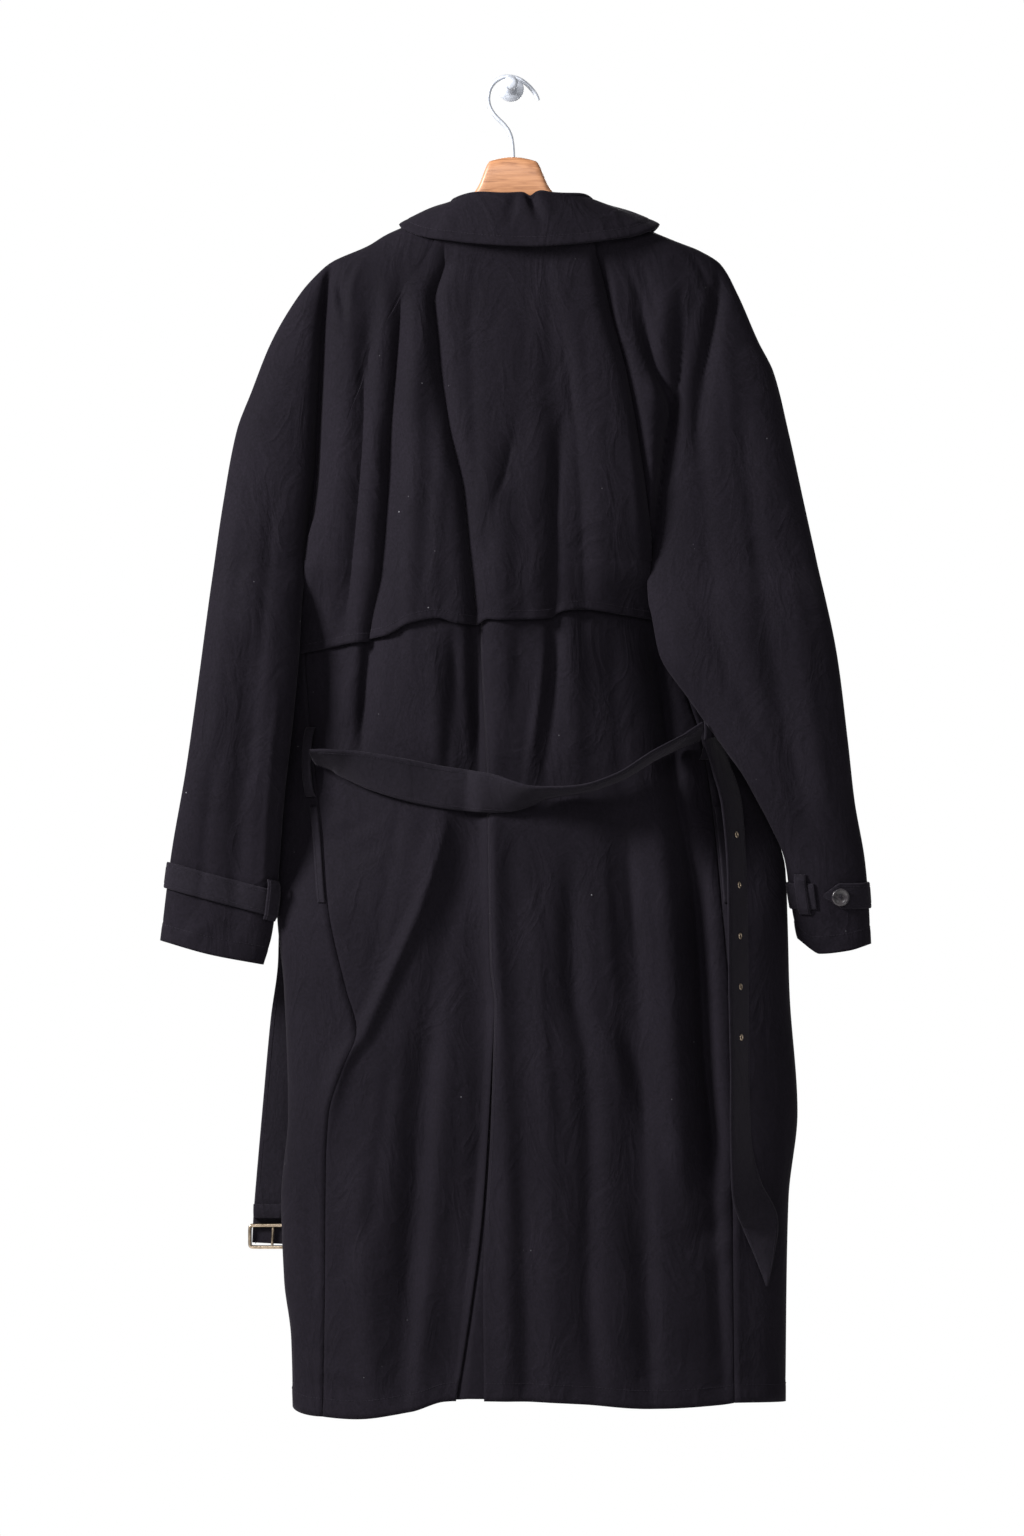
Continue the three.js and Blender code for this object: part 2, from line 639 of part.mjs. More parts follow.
// A narrow loop over the strap
function strapLoop(side, middle, half) {
  return wallGrid({
    columns: 4,
    rows: 6,
    trim: 0,
    thick: LOOP_THICK,
    flip: side === "right",
    lift: () => STRAP_GAP[side] + CLOTH + 0.5 + LOOP_THICK,
    place: (s, t) => strapPlace(side, mix(middle - half, middle + half, s), mix(-8, STRAP_WIDTH + 6, t)),
  });
}

// Collar: a stand on the neck edge, turned over into a fall that lies on the shoulders
const COLLAR_COLUMNS = 30;
const COLLAR_PROFILE = 9;
const COLLAR_START = -80;
const COLLAR_END = 260;
const NECK_RING = { across: 523.5, half: 93, room: 42, wall: 38 };
const FOLD_RING = { across: 523, half: 66, room: 37, wall: 38, turn: 3 };
const FALL_RING = { across: 529.5, half: 131, room: 51, wall: 47 };
const FOLD_DOWN = smooth([
  [-90, 204], [0, 202], [60, 195.5], [90, 194], [120, 195.5], [180, 202], [270, 204],
]);
const FALL_DOWN = smooth([
  [-90, 292], [-50, 262], [-18, 228], [0, 222], [18, 228], [45, 238], [90, 247], [135, 239], [162, 229],
  [180, 222], [198, 228], [230, 262], [270, 292],
]);
const PUCKER = { angle: 84, width: 5, drop: 3.5 };
function ringPoint(ring, angle, grow, down) {
  const radians = (angle * Math.PI) / 180;
  const sine = Math.sin(radians);
  const depth = (sine > 0 ? ring.room : ring.wall) + grow;
  const y = MIDDLE_Y - Math.sign(sine) * depth * Math.pow(Math.abs(sine), 0.72);
  return board(ring.across + (ring.half + grow) * Math.cos(radians), down, y);
}
function collarPlace(s, t) {
  const angle = mix(COLLAR_START, COLLAR_END, s);
  const away = (angle - PUCKER.angle) / PUCKER.width;
  const crest = FOLD_DOWN(angle) + PUCKER.drop * Math.exp(-away * away);
  const turn = FOLD_RING.turn;
  const stand = ringPoint(FOLD_RING, angle, 0, crest + turn);
  const foot = ringPoint(NECK_RING, angle, -1, NECK_DOWN - 4.4);
  const fall = ringPoint(FOLD_RING, angle, 2 * turn, crest + turn);
  const low = ringPoint(FALL_RING, angle, 0, FALL_DOWN(angle));
  const standShare = 0.28;
  const turnShare = 0.56;
  if (t <= standShare) return foot.lerp(stand, t / standShare);
  if (t < turnShare) {
    const bend = (Math.PI * (t - standShare)) / (turnShare - standShare);
    return ringPoint(FOLD_RING, angle, turn * (1 - Math.cos(bend)), crest + turn * (1 - Math.sin(bend)));
  }
  const part = (t - turnShare) / (1 - turnShare);
  const point = fall.lerp(low, part);
  point.z += 3 * Math.sin(Math.PI * part);
  return point;
}
function collar() {
  return wallGrid({
    columns: COLLAR_COLUMNS,
    rows: COLLAR_PROFILE,
    trim: 0,
    flip: true,
    lift: () => CLOTH / 2,
    place: (s, t) => collarPlace(s, t),
  });
}

// Belt: a flat ribbon along stations [across, down, tilt in degrees, share of the width]
function ribbonFrame(stations, i) {
  const before = stations[Math.max(0, i - 1)].centre;
  const after = stations[Math.min(stations.length - 1, i + 1)].centre;
  const along = after.clone().sub(before).normalize();
  const flatWay = new THREE.Vector3(along.z, 0, -along.x).normalize();
  const outWay = new THREE.Vector3().crossVectors(along, flatWay).normalize();
  const tilt = (stations[i].tilt * Math.PI) / 180;
  const wide = flatWay.clone().multiplyScalar(Math.cos(tilt)).addScaledVector(outWay, Math.sin(tilt));
  return { wide, high: new THREE.Vector3().crossVectors(wide, along).normalize() };
}
function ribbon(stations, width, thick) {
  const points = [];
  stations.forEach((station, i) => {
    const { wide, high } = ribbonFrame(stations, i);
    for (const [w, h] of [[-1, -1], [1, -1], [1, 1], [-1, 1]]) {
      points.push(station.centre.clone()
        .addScaledVector(wide, (w * width * station.share) / 2)
        .addScaledVector(high, (h * thick) / 2));
    }
  });
  const faces = [];
  const quad = (a, b, c, d) => faces.push(a, b, c, a, c, d);
  for (let i = 0; i < stations.length - 1; i += 1) {
    for (let k = 0; k < 4; k += 1) {
      const next = (k + 1) % 4;
      quad(4 * i + k, 4 * i + next, 4 * i + 4 + next, 4 * i + 4 + k);
    }
  }
  const end = 4 * (stations.length - 1);
  quad(3, 2, 1, 0);
  quad(end, end + 1, end + 2, end + 3);
  return closedGeometry(points, faces, true);
}
// Smooth stations from a table of [key, across, down, tilt, share, clearance]
function stationsOf(table, count, depthOf) {
  const column = (index) => smooth(table.map((row) => [row[0], row[index]]));
  const [across, down, tilt, share, clear] = [1, 2, 3, 4, 5].map(column);
  const stations = [];
  for (let i = 0; i <= count; i += 1) {
    const key = mix(table[0][0], table[table.length - 1][0], i / count);
    const spot = { across: across(key), down: down(key), tilt: tilt(key) };
    spot.share = share(key);
    spot.clear = clear(key);
    spot.centre = board(spot.across, spot.down, depthOf(spot));
    stations.push(spot);
  }
  return stations;
}
const roomSkinY = (across, down) => skin("body", turnAt("body", across, down), down).y;
function roomDepth(spot) {
  const reach = (BELT_WIDTH / 2) * Math.abs(Math.sin((spot.tilt * Math.PI) / 180));
  let nearest = 0;
  for (const off of [-12, 0, 12]) {
    nearest = Math.min(nearest, roomSkinY(spot.across + off, spot.down));
  }
  return nearest - reach - BELT_THICK / 2 - spot.clear;
}
const BELT_BACK = [
  [0, 313, 764, 48, 1, 2], [1, 330, 767, 30, 1, 2.5], [2, 376, 774, 8, 1, 3], [3, 441, 787, 4, 1, 3],
  [4, 487, 793, 22, 1, 3], [5, 518, 796, 48, 1, 3], [6, 548, 793, 74, 1, 3], [7, 583, 789, 80, 1, 3],
  [8, 617, 778, 80, 1, 3], [9, 656, 755, 78, 1, 3], [10, 690, 738, 74, 1, 3], [11, 701, 732, 70, 1, 3],
];
const BELT_TIP = [
  [0, 712, 738, -66, 1, 1.4], [1, 722, 768, -62, 1, 2], [2, 732, 805, -60, 1, 3], [3, 737, 880, -61, 1, 3],
  [4, 738, 976, -62, 1, 3], [5, 739, 1053, -62, 1, 3], [6, 740, 1130, -60, 1, 3], [7, 747, 1190, -40, 1, 3],
  [8, 760, 1222, -14, 0.9, 4], [9, 764, 1250, -6, 0.55, 5], [10, 766, 1272, 0, 0.24, 5],
  [11, 767, 1285, 0, 0.06, 5],
];
const BELT_BUCKLE = [
  [0, 296, 780, 0, 1, -27], [1, 298, 860, 0, 1, -27], [2, 297, 957, 0, 1, -30], [3, 289, 1026, 0, 1, -31],
  [4, 283, 1114, 0, 1, -31], [5, 276, 1206, 0, 1, -31], [6, 275.5, 1227, 0, 1, -31],
];

// Eyelets lie on the room face of the belt's hanging end
const EYELET_DOWN = [835, 885, 935.5, 986, 1036.5];
function eyelet(stations, down) {
  const i = stations.findIndex((station) => station.down >= down);
  const { centre } = stations[i];
  const share = (down - stations[i - 1].down) / (stations[i].down - stations[i - 1].down);
  const { high } = ribbonFrame(stations, i);
  if (high.y > 0) high.negate();
  const point = stations[i - 1].centre.clone().lerp(centre, share);
  point.addScaledVector(high, BELT_THICK / 2 + EYELET_LIFT);
  return ringDisc(EYELET_RADIUS, EYELET_HOLE, EYELET_THICK, point, high);
}

// A flat disc turned about its own axis, its back at the point, facing along the normal
function disc(radius, thick, point, normal, segments = 12) {
  const rim = thick * 0.25;
  const outline = [
    [0, 0], [radius - rim, 0], [radius, rim], [radius, thick - rim], [radius - rim, thick], [0, thick],
  ];
  const geometry = new THREE.LatheGeometry(outline.map(([x, y]) => new THREE.Vector2(x, y)), segments);
  return placeAlong(geometry, point, normal);
}
function ringDisc(radius, hole, thick, point, normal, segments = 10) {
  const outline = [[hole, 0], [radius, 0], [radius, thick], [hole, thick], [hole, 0]];
  const geometry = new THREE.LatheGeometry(outline.map(([x, y]) => new THREE.Vector2(x, y)), segments);
  return placeAlong(geometry, point, normal);
}
function placeAlong(geometry, point, normal) {
  const lathed = new THREE.Vector3(0, 1, 0);
  const turn = new THREE.Quaternion().setFromUnitVectors(lathed, normal.clone().normalize());
  geometry.applyQuaternion(turn);
  geometry.translate(point.x, point.y, point.z);
  return geometry;
}
function wire(path, radius, steps, sides, closed = false) {
  const curve = new THREE.CatmullRomCurve3(path, closed, "centripetal");
  const section = new THREE.Shape();
  for (let i = 0; i < sides; i += 1) {
    const angle = (2 * Math.PI * i) / sides;
    const corner = [radius * Math.cos(angle), radius * Math.sin(angle)];
    if (i === 0) section.moveTo(...corner);
    else section.lineTo(...corner);
  }
  return new THREE.ExtrudeGeometry(section, { steps, bevelEnabled: false, extrudePath: curve });
}

// Hanger: wood arms inside the shoulders with a raised hub, and a wire hook
const HANGER_ARM = { left: 336, right: 708, thick: 13, tipThick: 11, sides: 8 };
const HANGER_LINE = smooth([
  [336, 274], [352, 262], [385, 246], [420, 233], [440, 228.5], [457, 223], [470, 209], [478, 197],
  [490, 178], [513, 171], [536, 178], [549, 197], [558, 209], [572, 221], [590, 226], [610, 230],
  [645, 239.5], [680, 253], [708, 269],
]);
const HANGER_HEIGHT = smooth([
  [336, 13], [420, 22], [478, 26], [490, 32], [513, 34], [536, 32], [549, 26], [600, 22], [708, 13],
]);
function hangerWood() {
  const points = [];
  const stations = 24;
  const { left, right, sides, thick, tipThick } = HANGER_ARM;
  const round = (value) => Math.sign(value) * Math.pow(Math.abs(value), 0.7);
  for (let i = 0; i <= stations; i += 1) {
    const across = mix(left, right, i / stations);
    const centreShare = 1 - Math.abs(2 * i / stations - 1);
    const halfThick = mix(tipThick, thick, centreShare) / 2;
    for (let k = 0; k < sides; k += 1) {
      const angle = (2 * Math.PI * k) / sides;
      const down = HANGER_LINE(across) - (HANGER_HEIGHT(across) / 2) * round(Math.sin(angle));
      points.push(board(across, down, MIDDLE_Y + halfThick * round(Math.cos(angle))));
    }
  }
  const faces = [];
  for (let i = 0; i < stations; i += 1) {
    for (let k = 0; k < sides; k += 1) {
      const a = i * sides + k;
      const b = i * sides + ((k + 1) % sides);
      faces.push(a, b, b + sides, a, b + sides, a + sides);
    }
  }
  const lastRing = stations * sides;
  for (let k = 1; k < sides - 1; k += 1) {
    faces.push(0, k + 1, k);
    faces.push(lastRing, lastRing + k, lastRing + k + 1);
  }
  return closedGeometry(points, faces, false);
}
const HOOK_PATH = [
  [537, 97], [534, 90], [527, 81], [519, 74.9], [511, 73.1], [503, 73.2], [495, 77.5], [489, 86],
  [487, 96], [489, 106], [496, 114], [505, 122], [511, 131], [512.5, 142], [513, 154.2],
];
function hangerHook() {
  return wire(HOOK_PATH.map(([across, down]) => board(across, down, MIDDLE_Y)), WIRE_RADIUS, 34, 6);
}
// Wall hook: a round plate with a peg that ends in a raised knob, turned in one piece
function wallHook() {
  const outline = [
    [0, 0], [PLATE_RADIUS, 0], [PLATE_RADIUS, PLATE_THICK - 1], [PLATE_RADIUS - 1, PLATE_THICK],
    [PEG_RADIUS + 2, PLATE_THICK], [PEG_RADIUS, PLATE_THICK + 3],
    [PEG_RADIUS, PEG_REACH - 8], [PEG_RADIUS + 2.4, PEG_REACH - 6],
    [PEG_RADIUS + 2.4, PEG_REACH - 2], [PEG_RADIUS, PEG_REACH], [0, PEG_REACH],
  ];
  const geometry = new THREE.LatheGeometry(outline.map(([x, y]) => new THREE.Vector2(x, y)), 18);
  return placeAlong(geometry, new THREE.Vector3(0, 0, 0), new THREE.Vector3(0, -1, 0));
}

// Buckle: a rectangular wire frame with a prong, hung from the belt's end
const BUCKLE = { across: 276, top: 1229.5, low: 1251.5, half: 28.5, radius: 1.9, y: -31 };
const PIN_RADIUS = 1.4;
function buckleFrame() {
  const { across, top, low, half, y } = BUCKLE;
  const corner = 4;
  const path = [
    [-half + corner, top], [0, top], [half - corner, top], [half, top + corner], [half, low - corner],
    [half - corner, low], [0, low], [-half + corner, low], [-half, low - corner], [-half, top + corner],
  ].map(([off, down]) => board(across + off, down, y));
  return torusAlong(path, BUCKLE.radius, 6);
}
// A closed ring of round wire through the given corners
function torusAlong(path, radius, sides) {
  const points = [];
  const count = path.length;
  path.forEach((corner, i) => {
    const along = path[(i + 1) % count].clone().sub(path[(i + count - 1) % count]).normalize();
    const out = new THREE.Vector3(along.z, 0, -along.x).normalize();
    const deep = new THREE.Vector3().crossVectors(along, out);
    for (let k = 0; k < sides; k += 1) {
      const angle = (2 * Math.PI * k) / sides;
      points.push(corner.clone()
        .addScaledVector(out, radius * Math.cos(angle))
        .addScaledVector(deep, radius * Math.sin(angle)));
    }
  });
  const faces = [];
  for (let i = 0; i < count; i += 1) {
    for (let k = 0; k < sides; k += 1) {
      const a = i * sides + k;
      const b = i * sides + ((k + 1) % sides);
      const c = ((i + 1) % count) * sides + ((k + 1) % sides);
      const d = ((i + 1) % count) * sides + k;
      faces.push(a, b, c, a, c, d);
    }
  }
  return closedGeometry(points, faces, false);
}
function bucklePin() {
  const { across, top, low, y } = BUCKLE;
  const path = [[across - 5, top + 2.1], [across - 5.5, top + 10], [across - 6, low - 2.1]];
  return wire(path.map(([a, d]) => board(a, d, y)), PIN_RADIUS, 6, 6);
}
// Keeper band at the buckle end of the belt
function keeper() {
  const stations = [1208, 1222].map((down) => ({ centre: board(276, down, -31), tilt: 0, share: 1 }));
  return tubeBand(stations, BELT_WIDTH + 8, BELT_THICK + 5, 1.6);
}
function tubeBand(stations, width, depth, thick) {
  const rings = [];
  for (const station of stations) {
    for (const inset of [0, thick]) {
      for (const [w, h] of [[-1, -1], [1, -1], [1, 1], [-1, 1]]) {
        const { x, y, z } = station.centre;
        rings.push(new THREE.Vector3(x + w * (width / 2 - inset), y + h * (depth / 2 - inset), z));
      }
    }
  }
  const faces = [];
  const quad = (a, b, c, d) => faces.push(a, b, c, a, c, d);
  for (let k = 0; k < 4; k += 1) {
    const n = (k + 1) % 4;
    quad(8 + k, 8 + n, n, k);
    quad(12 + n, 12 + k, 4 + k, 4 + n);
    quad(k, n, 4 + n, 4 + k);
    quad(8 + n, 8 + k, 12 + k, 12 + n);
  }
  return closedGeometry(rings, faces, false);
}

// Belt loops at the sides: narrow bands that stand off the side seams
function sideLoop(across, top, low, width) {
  const half = width / 2;
  const stand = BELT_THICK + 9;
  return wallGrid({
    columns: 2,
    rows: 10,
    trim: 0,
    thick: LOOP_THICK,
    lift: (s, t) => LOOP_BASE + LOOP_THICK + stand * Math.pow(Math.sin(Math.PI * t), 0.6),
    place: (s, t) => {
      const down = mix(top, low, t);
      return skin("body", turnAt("body", across + mix(-half, half, s), down), down);
    },
  });
}
// Welts of the side pockets, laid along the side seams
function pocketWelt(side) {
  const seam = side === "left" ? sideLeft : sideRight;
  const inward = side === "left" ? -1 : 1;
  return wallGrid({
    columns: 2,
    rows: 12,
    trim: 0,
    thick: WELT_THICK,
    lift: () => WELT_GAP[side] + WELT_THICK,
    place: (s, t) => {
      const down = mix(807, 903, t);
      const near = seam(down) + inward * (side === "left" ? mix(9, 1.5, s) : mix(1.5, 9, s));
      return skin("body", turnAt("body", near, down), down);
    },
  });
}

function buttonOn(lobe, turn, down, radius, lift) {
  const point = skin(lobe, turn, down);
  const side = skin(lobe, turn + 0.01, down).sub(skin(lobe, turn - 0.01, down));
  const below = skin(lobe, turn, down + 2).sub(skin(lobe, turn, down - 2));
  const normal = below.cross(side).normalize();
  const room = turn >= 0 && turn <= 1;
  if ((normal.y > 0) === room) normal.negate();
  return disc(radius, BUTTON_THICK, point.addScaledVector(normal, lift), normal);
}

// Front buttons lie on the wall side, in two columns
const FRONT_BUTTON_DOWN = [420, 535, 690, 860];
const BUTTON_COLUMNS = { left: 462, right: 560 };
const CUFF_BUTTONS = { left: { turn: -0.45, down: 884 }, right: { turn: 0.42, down: 897 } };
function addButtons() {
  for (const side of ["left", "right"]) {
    const { turn, down } = CUFF_BUTTONS[side];
    const lift = STRAP_GAP[side] + CLOTH + BUTTON_LIFT;
    add(`cuff_button_${side}`, buttonOn(side, turn, down, CUFF_BUTTON_RADIUS, lift), COLOURS.button, 0.3);
    FRONT_BUTTON_DOWN.forEach((level, i) => {
      const place = -turnAt("body", BUTTON_COLUMNS[side], level);
      const button = buttonOn("body", place, level, BUTTON_RADIUS, BUTTON_LIFT);
      add(`front_button_${side}_${i + 1}`, button, COLOURS.button, 0.3);
    });
  }
}

function build() {
  add("back_left", backPanel("left"), COLOURS.cloth);
  add("back_right", backPanel("right"), COLOURS.cloth);
  add("vent_underlap", ventUnderlap(), COLOURS.cloth);
  add("storm_flap", stormFlap(), COLOURS.cloth);
  add("front_left", frontPanel("left"), COLOURS.cloth);
  add("front_right", frontPanel("right"), COLOURS.cloth);
  for (const side of ["left", "right"]) {
    add(`sleeve_${side}_back`, sleevePanel(side, true), COLOURS.cloth);
    add(`sleeve_${side}_front`, sleevePanel(side, false), COLOURS.cloth);
    add(`cuff_strap_${side}`, cuffStrap(side), COLOURS.cloth);
    add(`pocket_welt_${side}`, pocketWelt(side), COLOURS.cloth);
  }
  add("cuff_loop_left", strapLoop("left", 0.86, 0.07), COLOURS.cloth);
  add("cuff_loop_right", strapLoop("right", 0.74, 0.06), COLOURS.cloth);
  add("collar", collar(), COLOURS.cloth);
  const tip = stationsOf(BELT_TIP, 34, roomDepth);
  add("belt_back", ribbon(stationsOf(BELT_BACK, 34, roomDepth), BELT_WIDTH, BELT_THICK), COLOURS.cloth);
  add("belt_tip_end", ribbon(tip, BELT_WIDTH, BELT_THICK), COLOURS.cloth);
  EYELET_DOWN.forEach((down, i) => add(`eyelet_${i + 1}`, eyelet(tip, down), COLOURS.brass, 0.35, 1));
  const buckleEnd = stationsOf(BELT_BUCKLE, 20, (spot) => spot.clear);
  add("belt_buckle_end", ribbon(buckleEnd, BELT_WIDTH, BELT_THICK), COLOURS.cloth);
  add("belt_loop_left", sideLoop(311, 727, 797, 9), COLOURS.cloth);
  add("belt_loop_right", sideLoop(704, 703, 760, 9), COLOURS.cloth);
  add("belt_keeper", keeper(), COLOURS.cloth);
  add("buckle_frame", buckleFrame(), COLOURS.brass, 0.35, 1);
  add("buckle_pin", bucklePin(), COLOURS.brass, 0.35, 1);
  addButtons();
  add("hanger_wood", hangerWood(), COLOURS.wood, 0.5);
  add("hanger_hook", hangerHook(), COLOURS.steel, 0.35, 1);
  add("wall_hook", wallHook(), COLOURS.steel, 0.4, 1);
  return coat;
}

export default build();
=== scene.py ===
import bpy
import math
import numpy as np
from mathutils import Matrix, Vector


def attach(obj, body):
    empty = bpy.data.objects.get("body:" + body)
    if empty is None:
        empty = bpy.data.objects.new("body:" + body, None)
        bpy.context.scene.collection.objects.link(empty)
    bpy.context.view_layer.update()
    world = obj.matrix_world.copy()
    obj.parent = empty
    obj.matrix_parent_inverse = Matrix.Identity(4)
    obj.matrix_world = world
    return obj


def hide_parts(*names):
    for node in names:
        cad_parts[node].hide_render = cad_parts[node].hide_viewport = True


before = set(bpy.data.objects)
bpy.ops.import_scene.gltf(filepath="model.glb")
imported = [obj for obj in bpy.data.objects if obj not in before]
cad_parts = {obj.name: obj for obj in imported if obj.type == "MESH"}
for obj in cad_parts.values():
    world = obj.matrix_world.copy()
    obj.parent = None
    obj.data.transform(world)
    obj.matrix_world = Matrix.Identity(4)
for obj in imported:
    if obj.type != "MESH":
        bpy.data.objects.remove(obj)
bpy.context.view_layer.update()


# The board, in millimetres: across runs right, down runs to the floor, the wall hook at its origin
HOOK_ACROSS = 511
HOOK_DOWN = 80
MM = 0.001

CLOTH = 1.5
WALL = 2.0
OPEN_DEPTH = 8
MIDDLE_Y = -62
NECK_DOWN = 214
UNDERARM_DOWN = 562
VENT_DOWN = 1001
BELT_WIDTH = 42
BELT_THICK = 3
FOLD_TAPER = 45
rng = np.random.default_rng(7)


def smooth(rows):
    # A smooth curve through rows of [key, value], for numbers or arrays
    keys = np.array([row[0] for row in rows], float)
    values = np.array([row[1] for row in rows], float)
    rise = np.diff(values) / np.diff(keys)
    slopes = np.empty(len(keys))
    slopes[0], slopes[-1] = rise[0], rise[-1]
    product = rise[:-1] * rise[1:]
    total = np.where(rise[:-1] + rise[1:] == 0, 1, rise[:-1] + rise[1:])
    slopes[1:-1] = np.where(product <= 0, 0, 2 * product / total)

    def value(key):
        key = np.asarray(key, float)
        i = np.clip(np.searchsorted(keys, key) - 1, 0, len(keys) - 2)
        span = keys[i + 1] - keys[i]
        t = np.clip((key - keys[i]) / span, 0, 1)
        start = (1 + 2 * t) * (1 - t) ** 2 * values[i] + t * (1 - t) ** 2 * span * slopes[i]
        end = t * t * (3 - 2 * t) * values[i + 1] - t * t * (1 - t) * span * slopes[i + 1]
        before = np.minimum(key - keys[0], 0) * slopes[0]
        after = np.maximum(key - keys[-1], 0) * slopes[-1]
        return start + end + before + after

    return value


def mix(a, b, t):
    return a + (b - a) * t


def step(value, low, high):
    t = np.clip((value - low) / (high - low), 0, 1)
    return t * t * (3 - 2 * t)


# Outlines of the whole coat, each row [down, across]
outer_left = smooth([
    [214, 430], [232, 386], [243, 368], [260, 330], [270, 318], [290, 300], [340, 270], [390, 250],
    [430, 235], [500, 222], [570, 212], [640, 203], [700, 195], [770, 185], [855, 170], [941, 159],
])
outer_right = smooth([
    [214, 617], [239, 677], [248, 700], [262, 722], [290, 738], [340, 760], [370, 775], [430, 790],
    [500, 805], [580, 822], [660, 838], [740, 848], [800, 855], [862, 866], [906, 870], [944, 872],
])
# Hollow between sleeve and body above the underarm
valley_left = smooth([[214, 345], [270, 326], [329, 323], [412, 318], [478, 315], [562, 305]])
valley_right = smooth([[214, 716], [289, 700], [326, 686], [392, 676], [445, 666], [495, 660], [562, 649]])
# Raglan seams from the neck to the underarm
raglan_left = smooth([[214, 446], [247, 430], [300, 396], [370, 364], [450, 337], [530, 313], [562, 305]])
raglan_right = smooth([[214, 584], [256, 596], [306, 606], [366, 622], [439, 635], [495, 643], [562, 649]])
# Inner edges of the sleeves below the underarm
inner_left = smooth([
    [562, 306], [600, 302], [654, 299], [720, 293], [800, 284], [900, 276], [936, 271], [966, 262],
])
inner_right = smooth([
    [562, 646.5], [600, 648], [614, 651], [654, 659], [700, 689], [731, 711], [756, 729], [774, 742],
    [797, 755], [823, 769], [860, 785], [892, 790], [934, 797], [955, 806],
])
# Edges of the body below the underarm
body_left = smooth([
    [562, 303], [600, 296], [640, 290], [700, 288], [770, 283.5], [830, 277.5], [880, 274], [920, 276],
    [992, 283], [1114, 287], [1200, 280], [1283, 283], [1340, 290], [1414, 292],
])
body_right = smooth([
    [562, 652], [600, 663], [640, 684], [700, 714], [740, 735], [770, 751], [800, 764], [830, 776],
    [870, 787], [920, 789], [992, 791], [1114, 799], [1200, 790], [1283, 788], [1390, 787],
])
# Seams of the body
centre_seam = smooth([
    [214, 492], [400, 488], [560, 482], [640, 480], [697, 482], [770, 486], [820, 487], [960, 489],
    [1001, 494],
])
vent_left = smooth([[1001, 494], [1053, 491], [1145, 486], [1225, 480], [1302, 470], [1388, 457]])
vent_right = smooth([[1001, 494], [1130, 490], [1206, 486], [1283, 483], [1398, 484]])
underlap_edge = smooth([[1001, 492], [1145, 484], [1244, 475], [1302, 465], [1359, 456], [1396, 450]])
side_left = smooth([
    [562, 307], [650, 303.5], [745, 310], [830, 321], [905, 327], [988, 345], [1030, 356], [1068, 342],
    [1114, 328], [1168, 325], [1300, 324], [1420, 322],
])
side_right = smooth([
    [562, 646.5], [600, 655], [640, 668], [700, 690], [745, 704], [830, 716], [900, 722], [1000, 730],
    [1420, 735],
])
# Lower edges, each row [across, down]
hem = smooth([
    [292, 1414], [356, 1419], [414, 1411], [446, 1401], [463, 1400], [511, 1400], [580, 1403], [649, 1408],
    [718, 1405], [787, 1390],
])
cuff_left = smooth([[159, 941], [212, 955], [262, 964]])
cuff_right = smooth([[800, 938], [816, 954], [847, 951], [872, 944]])
flap_hem = smooth([
    [298, 654], [352, 643], [387, 636], [414, 622], [440, 618], [453, 622], [480, 625], [489, 619],
    [500, 620], [543, 619], [570, 611], [586, 610], [626, 615], [660, 620],
])
# Depths of the coat before (toward the room) and behind (toward the wall) its middle plane
shoulder_room = smooth([[214, 42], [240, 34], [270, 29], [340, 33], [450, 42], [562, 50]])
shoulder_wall = smooth([[214, 38], [240, 31], [270, 27], [340, 30], [450, 38], [562, 44]])
body_room = smooth([[230, 30], [340, 44], [562, 53], [760, 46], [900, 50], [1400, 56]])
body_wall = smooth([[230, 28], [340, 38], [562, 44], [760, 38], [900, 42], [1400, 46]])
sleeve_depth = smooth([[230, 18], [340, 23], [562, 25], [760, 22], [860, 19], [950, 21]])
# Middle planes at the body's right edge and along the right sleeve, which hangs in front of it
edge_middle_right = smooth([
    [214, -62], [400, -62], [562, -76], [600, -58], [640, -48], [740, -47], [800, -54], [900, -62],
    [1400, -62],
])
edge_middle_left = smooth([
    [214, -62], [400, -62], [562, -70], [600, -60], [640, -53], [760, -52], [860, -55], [960, -62],
    [1400, -62],
])
sleeve_middle_right = smooth([
    [214, -62], [400, -62], [562, -76], [600, -94], [640, -101], [740, -99], [860, -84], [944, -76],
])
sleeve_middle_left = smooth([
    [214, -62], [400, -62], [562, -70], [600, -80], [640, -86], [760, -86], [860, -78], [944, -70],
])
# Side edges of the storm flap below the underarm
flap_right = smooth([[562, 648], [585, 648], [610, 652], [660, 658]])
flap_left = smooth([[562, 307], [600, 303], [660, 299]])
# Front panels reach round the body's edges to the side seams. The wearer's left front lies outside.
front_left_edge = smooth([[214, 546], [330, 572], [420, 588], [1400, 594]])
front_right_edge = smooth([[214, 478], [330, 452], [420, 442], [1400, 438]])
# Levels of the collar's fold and of its lower edge, each row [angle round the neck, down]
fold_down = smooth([
    [-90, 204], [0, 198], [30, 194], [60, 192.5], [90, 193], [120, 192.5], [150, 194], [180, 198], [270, 204],
])
fall_down = smooth([
    [-90, 292], [-50, 262], [-18, 228], [0, 222], [18, 228], [45, 238], [90, 247], [135, 239], [162, 229],
    [180, 222], [198, 228], [230, 262], [270, 292],
])
# The wooden arms' middle line and height, each row [across, value]
hanger_line = smooth([
    [336, 274], [352, 262], [385, 246], [420, 233], [440, 228.5], [457, 223], [470, 209], [478, 198],
    [490, 179], [513, 177], [536, 179], [549, 198], [558, 209], [572, 221], [590, 226], [610, 230],
    [645, 239.5], [680, 253], [708, 269],
])
hanger_height = smooth([
    [336, 13], [420, 22], [478, 29], [490, 42], [513, 46], [536, 42], [549, 29], [600, 22], [708, 13],
])
